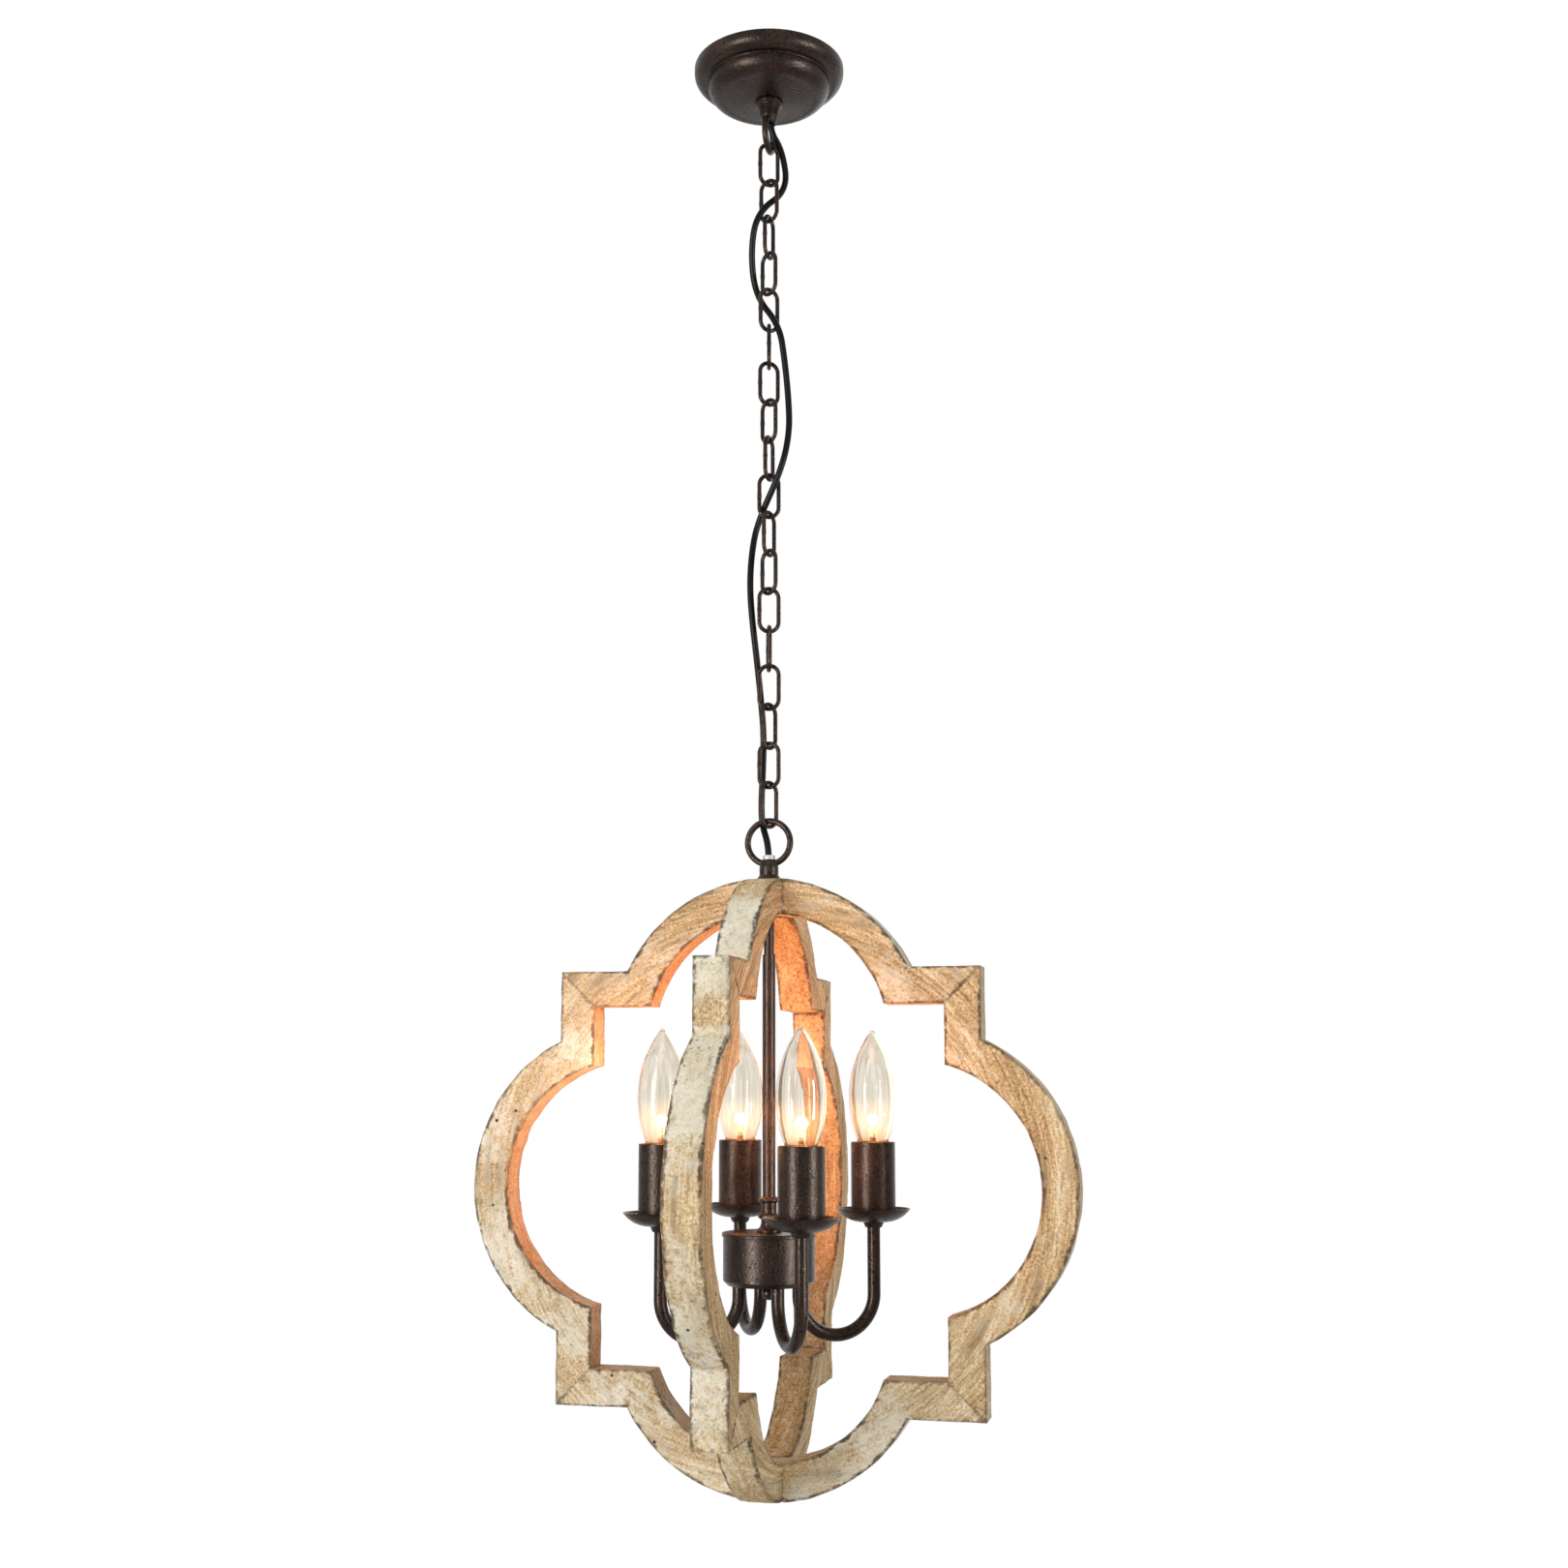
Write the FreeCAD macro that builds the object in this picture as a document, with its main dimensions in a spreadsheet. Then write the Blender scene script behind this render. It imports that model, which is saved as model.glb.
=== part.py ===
import FreeCAD, Part
import math
import os
import Sketcher

# A four light pendant for a ceiling: two crossed quatrefoil frames of wood round a cluster of four
# candle lamps, hung on a chain with the supply cable woven through it.
# Millimetres, +Z up. The origin is the centre of the ceiling plane, and everything hangs below it.

# Driving dimensions, one group for each piece or set of like pieces.
SIZES = {
    # fits that several pieces share
    "running_gap": 0.3,
    "fit_gap": 0.1,
    "overrun": 1.0,
    # crossbar that is screwed under the ceiling box
    "bar_length": 108.0,
    "bar_width": 20.0,
    "bar_thickness": 2.0,
    "slot_spacing": 79.4,
    "slot_length": 22.0,
    "slot_width": 4.6,
    # earth screw in the crossbar
    "earth_screw_offset": 20.0,
    "earth_screw_radius": 2.0,
    "earth_head_radius": 4.0,
    "earth_head_height": 2.6,
    # threaded tube that carries the canopy and the loop
    "nipple_radius": 4.8,
    "nipple_bore_radius": 3.1,
    "nipple_grip": 5.5,
    "nut_circumradius": 8.4,
    "nut_thickness": 4.0,
    # canopy pressed from sheet
    "canopy_radius": 60.0,
    "canopy_wall": 1.2,
    "canopy_lip": 4.0,
    "canopy_shoulder": 8.0,
    "canopy_ledge": 3.0,
    "canopy_riser": 2.0,
    "canopy_dome_radius": 11.0,
    "canopy_crown_rise": 3.0,
    "canopy_boss_radius": 13.0,
    # collar nut under the canopy
    "collar_radius": 11.0,
    "collar_waist_radius": 8.5,
    "collar_height": 7.0,
    "collar_rim": 2.4,
    # wire connectors inside the canopy
    "connector_circle": 19.0,
    "connector_base_radius": 3.4,
    "connector_mouth_radius": 5.2,
    "connector_height": 17.0,
    "connector_bore": 2.6,
    "connector_bore_depth": 11.0,
    # loop under the canopy
    "top_ring_radius": 13.0,
    "top_ring_wire": 2.5,
    "top_boss_radius": 7.0,
    "top_boss_end_radius": 5.4,
    "top_boss_drop": 5.0,
    "boss_lap": 1.6,
    "top_boss_bore_radius": 3.4,
    # chain of welded oval links
    "link_wire": 1.65,
    "link_half_width": 7.5,
    "link_reach": 34.1,
    # supply cable
    "cable_radius": 2.5,
    # loop on top of the frame
    "ring_radius": 16.6,
    "ring_wire": 2.4,
    "neck_height": 9.1,
    "neck_radius": 7.3,
    "neck_foot_radius": 9.3,
    "neck_foot_height": 3.0,
    "neck_top_radius": 6.0,
    "neck_rise": 0.8,
    # cable bushing in the neck
    "bushing_flange_radius": 4.8,
    "bushing_flange_height": 3.6,
    "bushing_barrel_length": 5.5,
    # quatrefoil frames of wood
    "frame_reach": 230.0,
    "lobe_radius": 120.0,
    "corner_reach": 161.5,
    "wood_width": 27.3,
    "wood_thickness": 27.0,
    "dowel_radius": 4.0,
    "dowel_half_length": 10.0,
    # fixings of the two lap joints
    "lap_screw_radius": 2.2,
    "lap_screw_head_radius": 4.4,
    "lap_screw_head_height": 2.6,
    "lap_screw_length": 22.0,
    "frame_nut_radius": 8.0,
    "frame_nut_height": 3.8,
    "frame_nut_recess": 4.1,
    # centre rod and the thin threaded tube above it
    "stem_radius": 3.9,
    "stem_bore_radius": 2.9,
    "stem_grip": 7.0,
    "rod_radius": 4.9,
    "rod_top_drop": 30.0,
    # turned collar over the hub
    "spindle_length": 26.0,
    "spindle_waist": 5.9,
    "spindle_bead_radius": 2.3,
    "spindle_bead_half_height": 2.1,
    "spindle_upper_bead": 23.6,
    "spindle_lower_bead": 11.8,
    "spindle_flare_height": 4.5,
    "spindle_foot_radius": 9.5,
    "spindle_foot_height": 2.0,
    # hub
    "hub_top": -33.0,
    "hub_lid_radius": 35.0,
    "hub_lid_thickness": 3.0,
    "hub_lid_edge": 1.0,
    "hub_radius": 34.0,
    "hub_depth": 38.2,
    "hub_wall": 1.8,
    "hub_chamfer": 3.5,
    "hub_spigot_depth": 2.5,
    # finial
    "finial_disc_radius": 8.5,
    "finial_disc_height": 1.6,
    "finial_neck_radius": 3.2,
    "finial_ball_radius": 5.2,
    "finial_length": 11.0,
    "finial_stud_rise": 12.0,
    # length of the cable inside the rod
    "rod_cable_stop": -50.0,
    # four arms
    "cluster_turn": 30.0,
    "arm_radius": 4.85,
    "arm_bore_radius": 3.4,
    "arm_root": 23.0,
    "arm_reach": 82.0,
    "arm_bend_level": -79.5,
    "arm_root_rise": 7.2,
    "arm_collar_radius": 8.0,
    "arm_collar_foot_radius": 6.2,
    "arm_collar_height": 4.0,
    "arm_tip_rise": 12.8,
    "arm_nut_circumradius": 7.2,
    "arm_nut_thickness": 3.5,
    "arm_nut_turn": 30.0,
    # drip pans
    "pan_base": -27.0,
    "pan_radius": 28.0,
    "pan_depth": 10.0,
    "pan_flat_radius": 9.0,
    "pan_wall": 1.2,
    # candle sleeves and lamp holders
    "sleeve_radius": 16.75,
    "sleeve_wall": 1.5,
    "sleeve_top": 32.5,
    "holder_gap": 0.35,
    "holder_drop": 3.0,
    "holder_seat": 5.7,
    "holder_clearance": 0.3,
    "contact_radius": 2.6,
    "contact_height": 0.8,
    # bulbs
    "cap_radius": 13.0,
    "cap_height": 24.0,
    "cap_button_radius": 4.2,
    "cap_cone_height": 3.2,
    "cap_rim_depth": 3.4,
    "glass_wall": 0.9,
    "bulb_neck_radius": 11.5,
    "bulb_radius": 18.0,
    "bulb_widest": 65.5,
    "bulb_tip": 116.5,
    "bulb_tip_radius": 2.2,
    "bulb_tip_drop": 1.9,
    "mount_base_radius": 10.2,
    "mount_base_height": 1.2,
    "mount_foot_radius": 4.4,
    "mount_top_radius": 1.8,
    "mount_height": 15.0,
    "filament_level": 54.0,
    "filament_half_span": 5.5,
    "filament_radius": 0.7,
    "support_radius": 0.45,
}

# Turn of each chain link about the vertical, from the top one down, in degrees from +X. The first
# and last stand within 36 degrees of square to their loops, and neighbours at least 50 apart.
LINK_TURNS = [36, -20, 78, -33, 42, 104, 36, -33, 81, 14, 72, -33, 22, -71, 10, 63, 2, 56]

# Corners of the cable's route, chosen by hand: out of the upper loop, three times through the
# chain, down behind it and into the bushing.
CABLE_ROUTE = [
    (0.0, 0.0, -30.0),
    (0.0, 0.0, -50.6),
    (9.1, 8.8, -65.6),
    (12.0, 14.8, -96.9),
    (-6.8, -12.9, -126.4),
    (-13.6, -5.9, -156.8),
    (-13.2, 9.0, -186.5),
    (10.5, -8.5, -220.0),
    (14.0, -4.5, -249.0),
    (16.2, -1.1, -280.0),
    (17.0, -1.9, -306.0),
    (12.5, -9.0, -337.5),
    (-11.5, 8.0, -374.0),
    (-15.0, 3.6, -400.5),
    (-15.5, 0.4, -428.0),
    (-13.5, 0.8, -455.5),
    (-10.8, 4.5, -485.0),
    (-8.3, 7.0, -514.5),
    (-6.0, 8.0, -544.0),
    (-6.8, 7.6, -574.0),
    (-7.8, 7.0, -597.0),
    (-7.0, 6.0, -614.0),
    (0.0, 0.0, -632.0),
    (0.0, 0.0, -648.0),
]
ARC_RUN_SHARE = 0.45

doc = FreeCAD.newDocument("pendant_light")
sheet = doc.addObject("Spreadsheet::Sheet", "Sizes")
for row, (alias, value) in enumerate(SIZES.items(), start=1):
    sheet.set(f"A{row}", alias)
    sheet.set(f"B{row}", str(value))
    sheet.setAlias(f"B{row}", alias)
doc.recompute()


class Size:
    """A length or an angle: its number, and the text that gives it from the sheet."""

    def __init__(self, number, text):
        self.number = number
        self.text = text

    def __add__(self, other):
        other = size_of(other)
        return Size(self.number + other.number, f"({self.text} + {other.text})")

    def __radd__(self, other):
        return size_of(other) + self

    def __sub__(self, other):
        other = size_of(other)
        return Size(self.number - other.number, f"({self.text} - {other.text})")

    def __rsub__(self, other):
        return size_of(other) - self

    def __mul__(self, other):
        other = size_of(other)
        return Size(self.number * other.number, f"({self.text} * {other.text})")

    def __rmul__(self, other):
        return size_of(other) * self

    def __truediv__(self, other):
        other = size_of(other)
        return Size(self.number / other.number, f"({self.text} / {other.text})")

    def __neg__(self):
        return Size(-self.number, f"(0 - {self.text})")


def size_of(value):
    """The value as a Size, whether it is one already or a plain number."""
    if isinstance(value, Size):
        return value
    return Size(float(value), repr(value))


def root(size):
    """Square root."""
    return Size(math.sqrt(size.number), f"sqrt({size.text})")


def cosine(angle):
    """Cosine of an angle in degrees."""
    angle = size_of(angle)
    return Size(math.cos(math.radians(angle.number)), f"cos({angle.text} * 1 deg)")


def sine(angle):
    """Sine of an angle in degrees."""
    angle = size_of(angle)
    return Size(math.sin(math.radians(angle.number)), f"sin({angle.text} * 1 deg)")


def arctan(across, along):
    """The angle in degrees whose tangent is across over along."""
    across, along = size_of(across), size_of(along)
    angle = math.degrees(math.atan2(across.number, along.number))
    return Size(angle, f"(atan2({across.text}; {along.text}) / 1 deg)")


class Sheet:
    """The driving dimensions by name, each as a Size."""


size = Sheet()
for alias, value in SIZES.items():
    setattr(size, alias, Size(float(value), f"<<Sizes>>.{alias}"))


def bind(thing, path, value):
    """Tie a property of a document object to the sheet."""
    value = size_of(value)
    if "Sizes" in value.text:
        thing.setExpression(path, value.text)


def place(thing, x=0, y=0, z=0, angle=0, axis=(0, 0, 1)):
    """Put an object at x, y, z, turned about an axis, with each value tied to the sheet."""
    x, y, z, angle = size_of(x), size_of(y), size_of(z), size_of(angle)
    turn = FreeCAD.Rotation(FreeCAD.Vector(*axis), angle.number)
    thing.Placement = FreeCAD.Placement(FreeCAD.Vector(x.number, y.number, z.number), turn)
    bind(thing, "Placement.Base.x", x)
    bind(thing, "Placement.Base.y", y)
    bind(thing, "Placement.Base.z", z)
    bind(thing, "Placement.Rotation.Angle", angle)
    return thing


def new_body(label):
    """An empty body."""
    body = doc.addObject("PartDesign::Body", label)
    body.Label = label
    return body


def plane_of(body, role):
    """One of the body's own origin planes."""
    for feature in body.Origin.OriginFeatures:
        if feature.Role == role:
            return feature
    raise RuntimeError(f"no plane {role}")


def arc_of(start, end, radius, turn):
    """The arc from start to end, turn 1 anticlockwise and -1 clockwise, under half a circle."""
    middle = (start + end) * 0.5
    chord = end - start
    height = math.sqrt(max(radius * radius - chord.Length * chord.Length * 0.25, 0.0))
    across = FreeCAD.Vector(-chord.y, chord.x, 0).normalize()
    centre = middle + across * height * turn
    first, last = (start, end) if turn > 0 else (end, start)
    begin = math.atan2(first.y - centre.y, first.x - centre.x)
    finish = math.atan2(last.y - centre.y, last.x - centre.x)
    circle = Part.Circle(centre, FreeCAD.Vector(0, 0, 1), radius)
    return Part.ArcOfCircle(circle, begin, finish)


def draw(sketch, corners, closed=True):
    """Draw a chain of edges. A corner is (across, up), or (across, up, radius, turn) where an arc
    leads from it to the next one. Each corner and radius is tied to the sheet."""
    following = corners[1:] + corners[:1]
    steps = list(zip(corners, following if closed else following[:-1]))
    joints = []
    for corner, target in steps:
        start, end = point_of(corner), point_of(target)
        if len(corner) == 2:
            edge = sketch.addGeometry(Part.LineSegment(start, end), False)
            joints.append((edge, 1, 2))
            continue
        radius, turn = size_of(corner[2]), corner[3]
        edge = sketch.addGeometry(arc_of(start, end, radius.number, turn), False)
        joints.append((edge, 1, 2) if turn > 0 else (edge, 2, 1))
        if (end - start).Length < 2 * radius.number - 1e-6:
            fix_value(sketch, ("Radius", edge, radius.number), radius)
        elif abs(end.x - start.x) > abs(end.y - start.y):
            fix_value(sketch, ("DistanceY", -1, 1, edge, 3, start.y), size_of(corner[1]))
        else:
            fix_value(sketch, ("DistanceX", -1, 1, edge, 3, start.x), size_of(corner[0]))
    for number, (edge, first, last) in enumerate(joints):
        if closed or number:
            before, _, tail = joints[number - 1]
            sketch.addConstraint(Sketcher.Constraint("Coincident", before, tail, edge, first))
        fix_point(sketch, edge, first, corners[number])
    if not closed:
        fix_point(sketch, joints[-1][0], joints[-1][2], corners[-1])


def point_of(corner):
    """A corner's numbers as a point of the sketch."""
    return FreeCAD.Vector(size_of(corner[0]).number, size_of(corner[1]).number, 0)


def fix_point(sketch, edge, end, corner):
    """Hold one end of an edge at a corner."""
    across, up = size_of(corner[0]), size_of(corner[1])
    fix_value(sketch, ("DistanceX", -1, 1, edge, end, across.number), across)
    fix_value(sketch, ("DistanceY", -1, 1, edge, end, up.number), up)


def draw_circle(sketch, across, up, radius):
    """Draw a circle whose centre and radius are tied to the sheet."""
    across, up, radius = size_of(across), size_of(up), size_of(radius)
    centre = FreeCAD.Vector(across.number, up.number, 0)
    circle = Part.Circle(centre, FreeCAD.Vector(0, 0, 1), radius.number)
    edge = sketch.addGeometry(circle, False)
    fix_value(sketch, ("Radius", edge, radius.number), radius)
    fix_value(sketch, ("DistanceX", -1, 1, edge, 3, across.number), across)
    fix_value(sketch, ("DistanceY", -1, 1, edge, 3, up.number), up)


def fix_value(sketch, constraint, value):
    """Add one dimension to a sketch and tie it to the sheet."""
    index = sketch.addConstraint(Sketcher.Constraint(*constraint))
    name = f"dimension_{index}"
    sketch.renameConstraint(index, name)
    bind(sketch, f"Constraints.{name}", value)


def add_sketch(body, role, level=0):
    """A sketch on one of the body's planes, or at a level along that plane's normal."""
    sketch = body.newObject("Sketcher::SketchObject", "Sketch")
    sketch.AttachmentSupport = [(plane_of(body, role), "")]
    sketch.MapMode = "FlatFace"
    bind(sketch, "AttachmentOffset.Base.z", level)
    return sketch


def revolve(body, corners, kind="PartDesign::Revolution"):
    """Turn an outline of (radius, height) corners about the body's Z axis."""
    sketch = add_sketch(body, "XZ_Plane")
    draw(sketch, corners)
    feature = body.newObject(kind, "Turned")
    feature.Profile = sketch
    feature.ReferenceAxis = (sketch, ["V_Axis"])
    feature.Angle = 360
    return feature


def turned_body(label, corners, **spot):
    """A body of revolution, placed where the keywords say."""
    body = new_body(label)
    revolve(body, corners)
    return place(body, **spot)


def tube_corners(outer, inner, low, high):
    """Outline of a plain ring or tube."""
    return [(inner, low), (outer, low), (outer, high), (inner, high)]


def primitive(kind, values, **spot):
    """A primitive solid with its values tied to the sheet, placed where the keywords say."""
    thing = doc.addObject(kind, "Tool")
    for name, value in values.items():
        setattr(thing, name, size_of(value).number)
        bind(thing, name, value)
    return place(thing, **spot)


def cut(label, base, tools):
    """The base with the tools taken away."""
    result = doc.addObject("Part::Cut", label)
    result.Base = base
    result.Tool = fuse("Tools", tools) if len(tools) > 1 else tools[0]
    result.Label = label
    return result


def fuse(label, pieces):
    """The pieces as one solid."""
    result = doc.addObject("Part::MultiFuse", label)
    result.Shapes = pieces
    result.Label = label
    return result


def group(label, pieces):
    """The pieces as separate solids in one node."""
    result = doc.addObject("Part::Compound", label)
    result.Links = pieces
    result.Label = label
    return result


def hex_nut(circumradius, thickness, bore, **spot):
    """A hexagonal nut that stands on its placement."""
    blank = primitive("Part::Prism", {"Circumradius": circumradius, "Height": thickness})
    hole = primitive("Part::Cylinder", {"Radius": bore, "Height": thickness + 2 * size.overrun},
                     z=-size.overrun)
    return place(cut("Nut", blank, [hole]), **spot)


parts = []

# Levels that the stack of pieces gives, from the ceiling down.
canopy_depth = (size.canopy_lip + size.canopy_shoulder + size.canopy_riser
                + size.canopy_dome_radius + size.canopy_crown_rise)
collar_bottom = -canopy_depth - size.collar_height
top_ring_level = (collar_bottom - size.top_boss_drop - size.top_ring_wire
                  - size.top_ring_radius)
seat_lift = size.top_ring_wire + size.link_wire + size.running_gap
first_link_top = top_ring_level - size.top_ring_radius + seat_lift
link_pitch = size.link_reach - 2 * size.link_wire - size.running_gap
last_link_bottom = first_link_top - link_pitch * (len(LINK_TURNS) - 1) - size.link_reach
ring_top = last_link_bottom + size.link_wire + size.ring_wire + size.running_gap
ring_level = ring_top - size.ring_radius
wood_top = ring_level - size.ring_radius - size.ring_wire - size.neck_height
frame_level = wood_top - size.frame_reach

# Crossbar: a steel strap with two slots for the ceiling box's screws, a hole for the threaded
# tube in its middle and one for the earth screw.
bar = new_body("ceiling_crossbar")
strap = add_sketch(bar, "XY_Plane")
half_length, half_width = size.bar_length / 2, size.bar_width / 2
draw(strap, [(-half_length, -half_width), (half_length, -half_width),
                     (half_length, half_width), (-half_length, half_width)])
draw_circle(strap, 0, 0, size.nipple_radius + size.fit_gap)
draw_circle(strap, size.earth_screw_offset, 0, size.earth_screw_radius + size.fit_gap)
slot_half = size.slot_width / 2
for side in (-1, 1):
    middle = size.slot_spacing / 2 * side
    low = middle - size.slot_length / 2 + slot_half
    high = middle + size.slot_length / 2 - slot_half
    draw(strap, [(low, -slot_half), (high, -slot_half, slot_half, 1),
                         (high, slot_half), (low, slot_half, slot_half, 1)])
plate = bar.newObject("PartDesign::Pad", "Strap")
plate.Profile = strap
bind(plate, "Length", size.bar_thickness)
parts.append(place(bar, z=-size.bar_thickness))

parts.append(turned_body(
    "earth_screw",
    [(0, -size.earth_head_height), (size.earth_head_radius, -size.earth_head_height),
     (size.earth_head_radius, 0), (size.earth_screw_radius, 0),
     (size.earth_screw_radius, size.bar_thickness), (0, size.bar_thickness)],
    x=size.earth_screw_offset, z=-size.bar_thickness))

# Threaded tube from the crossbar through the canopy into the loop, with its two nuts.
nipple_bottom = collar_bottom - size.nipple_grip
parts.append(turned_body(
    "ceiling_nipple",
    tube_corners(size.nipple_radius, size.nipple_bore_radius, nipple_bottom, 0)))
nut_bore = size.nipple_radius + size.fit_gap
canopy_floor = -canopy_depth + size.canopy_wall
parts.append(group("nipple_nuts", [
    hex_nut(size.nut_circumradius, size.nut_thickness, nut_bore,
            z=-size.bar_thickness - size.nut_thickness),
    hex_nut(size.nut_circumradius, size.nut_thickness, nut_bore, z=canopy_floor),
]))

# Canopy: a pressed dish with two rounded steps, open to the ceiling.
shoulder_radius = size.canopy_radius - size.canopy_shoulder
shoulder_level = -size.canopy_lip - size.canopy_shoulder
ledge_radius = shoulder_radius - size.canopy_ledge
riser_level = shoulder_level - size.canopy_riser
dome_radius = ledge_radius - size.canopy_dome_radius
dome_level = riser_level - size.canopy_dome_radius
wall = size.canopy_wall
parts.append(turned_body("canopy", [
    (size.canopy_radius, 0),
    (size.canopy_radius, -size.canopy_lip, size.canopy_shoulder, -1),
    (shoulder_radius, shoulder_level),
    (ledge_radius, shoulder_level),
    (ledge_radius, riser_level, size.canopy_dome_radius, -1),
    (dome_radius, dome_level),
    (size.canopy_boss_radius, -canopy_depth),
    (nut_bore, -canopy_depth),
    (nut_bore, canopy_floor),
    (size.canopy_boss_radius, canopy_floor),
    (dome_radius, dome_level + wall, size.canopy_dome_radius - wall, 1),
    (ledge_radius - wall, riser_level),
    (ledge_radius - wall, shoulder_level + wall),
    (shoulder_radius, shoulder_level + wall, size.canopy_shoulder - wall, 1),
    (size.canopy_radius - wall, -size.canopy_lip),
    (size.canopy_radius - wall, 0),
]))

# Collar nut: a round nut with a rim above and a waist that a hand turns.
parts.append(turned_body("collar_nut", [
    (nut_bore, -canopy_depth),
    (size.collar_radius, -canopy_depth),
    (size.collar_radius, -canopy_depth - size.collar_rim),
    (size.collar_waist_radius, -canopy_depth - 2 * size.collar_rim),
    (size.collar_waist_radius, collar_bottom),
    (nut_bore, collar_bottom),
]))

# Twist on wire connectors, standing on the canopy's floor with their mouths up.
connector_form = turned_body("ConnectorForm", [
    (0, 0),
    (size.connector_base_radius, 0),
    (size.connector_mouth_radius, size.connector_height),
    (size.connector_bore, size.connector_height),
    (size.connector_bore, size.connector_height - size.connector_bore_depth),
    (0, size.connector_height - size.connector_bore_depth),
])
floor_slope = size.canopy_crown_rise / (dome_radius - size.canopy_boss_radius)
connector_edge = size.connector_circle + size.connector_base_radius
connector_level = (canopy_floor + (connector_edge - size.canopy_boss_radius) * floor_slope
                   + size.running_gap)


def copies(form, spots):
    """Linked copies of one form, one at each spot."""
    result = []
    for spot in spots:
        copy = doc.addObject("App::Link", "Copy")
        copy.LinkedObject = form
        copy.LinkTransform = False
        result.append(place(copy, **spot))
    return result


def round_the_axis(radius, turn, level):
    """Placement keywords for a spot at a radius and a turn from +X, facing outwards."""
    return {"x": radius * cosine(turn), "y": radius * sine(turn), "z": level, "angle": turn}


connector_turns = [0, 120, 240]
parts.append(group("wire_connectors", copies(connector_form, [
    round_the_axis(size.connector_circle, turn, connector_level) for turn in connector_turns])))


def eye(label, ring, boss, bores, level, quarter_axis):
    """A forged ring fused to its boss, with the bores taken out of both."""
    ring_radius, wire = ring
    hoop = primitive("Part::Torus", {"Radius1": ring_radius, "Radius2": wire},
                     z=level, angle=90, axis=quarter_axis)
    barrel = turned_body("Barrel", boss)
    tools = [primitive("Part::Cylinder", {"Radius": radius, "Height": high - low}, z=low)
             for radius, low, high in bores]
    return cut(label, fuse("Eye", [hoop, barrel]), tools)


# Loop under the canopy: a ring in the YZ plane on a boss that screws onto the threaded tube.
top_boss_end = (top_ring_level + size.top_ring_radius - size.top_ring_wire - size.boss_lap)
parts.append(eye(
    "canopy_loop",
    (size.top_ring_radius, size.top_ring_wire),
    [(0, top_boss_end), (size.top_boss_end_radius, top_boss_end),
     (size.top_boss_radius, collar_bottom - size.top_boss_drop),
     (size.top_boss_radius, collar_bottom), (0, collar_bottom)],
    [(nut_bore, nipple_bottom - size.running_gap, collar_bottom + size.overrun),
     (size.top_boss_bore_radius, top_boss_end - size.overrun, collar_bottom)],
    top_ring_level, (0, 1, 0)))

# Chain: oval links of round wire, each welded shut round the next.
straight_half = size.link_reach / 2 - size.link_half_width
bends = [primitive("Part::Torus", {"Radius1": size.link_half_width, "Radius2": size.link_wire,
                                   "Angle3": 180},
                   z=straight_half * side, angle=90 * side, axis=(1, 0, 0))
         for side in (1, -1)]
sides = [primitive("Part::Cylinder", {"Radius": size.link_wire, "Height": 2 * straight_half},
                   x=size.link_half_width * side, z=-straight_half)
         for side in (1, -1)]
link_form = fuse("LinkForm", bends + sides)
link_spots = [
    {"z": first_link_top - size.link_reach / 2 - link_pitch * number, "angle": turn}
    for number, turn in enumerate(LINK_TURNS)]
parts.append(group("top_chain_link", copies(link_form, link_spots[:1])))
parts.append(group("chain_links_upper", copies(link_form, link_spots[1:9])))
parts.append(group("chain_links_lower", copies(link_form, link_spots[9:])))


def rounded_route(corners):
    """Straight runs joined by tangent arcs, each as large as its two runs allow."""
    corners = [FreeCAD.Vector(*corner) for corner in corners]
    edges, radii = [], []
    reached = corners[0]
    for before, corner, after in zip(corners, corners[1:], corners[2:]):
        back, ahead = before - corner, after - corner
        half_turn = (math.pi - back.getAngle(ahead)) / 2
        setback = ARC_RUN_SHARE * min(back.Length, ahead.Length)
        radii.append(setback / math.tan(half_turn))
        start = corner + back.normalize() * setback
        end = corner + ahead.normalize() * setback
        inward = (back + ahead).normalize()
        depth = radii[-1] / math.cos(half_turn) - radii[-1]
        edges.append(Part.LineSegment(reached, start).toShape())
        edges.append(Part.Arc(start, corner + inward * depth, end).toShape())
        reached = end
    edges.append(Part.LineSegment(reached, corners[-1]).toShape())
    return Part.Wire(edges), radii


# Supply cable: round black flex that hangs from the loop, woven three times through the chain.
route, radii = rounded_route(CABLE_ROUTE)
print("cable radii", [round(radius, 1) for radius in radii], "length", round(route.Length, 1))
cable_radius = sheet.get("cable_radius")
section = Part.Circle(FreeCAD.Vector(*CABLE_ROUTE[0]), FreeCAD.Vector(0, 0, 1), cable_radius)
cable = doc.addObject("Part::Feature", "supply_cable")
cable.Shape = route.makePipeShell([Part.Wire(section.toShape())], True, False)
expected = math.pi * cable_radius ** 2 * route.Length
print("cable volume over section times length", round(cable.Shape.Volume / expected, 5))
parts.append(cable)

# Loop on the frame: a ring in the XZ plane on a flared neck, bored for the stem and the bushing.
neck_top = ring_level - size.ring_radius + size.ring_wire + size.neck_rise
ring_bottom = wood_top + size.neck_height
stem_hole = size.stem_radius + size.fit_gap
parts.append(eye(
    "fixture_loop",
    (size.ring_radius, size.ring_wire),
    [(0, wood_top), (size.neck_foot_radius, wood_top),
     (size.neck_radius, wood_top + size.neck_foot_height),
     (size.neck_radius, ring_bottom), (size.neck_top_radius, neck_top), (0, neck_top)],
    [(stem_hole, wood_top - size.overrun, neck_top + size.overrun)],
    ring_level, (1, 0, 0)))

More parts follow.
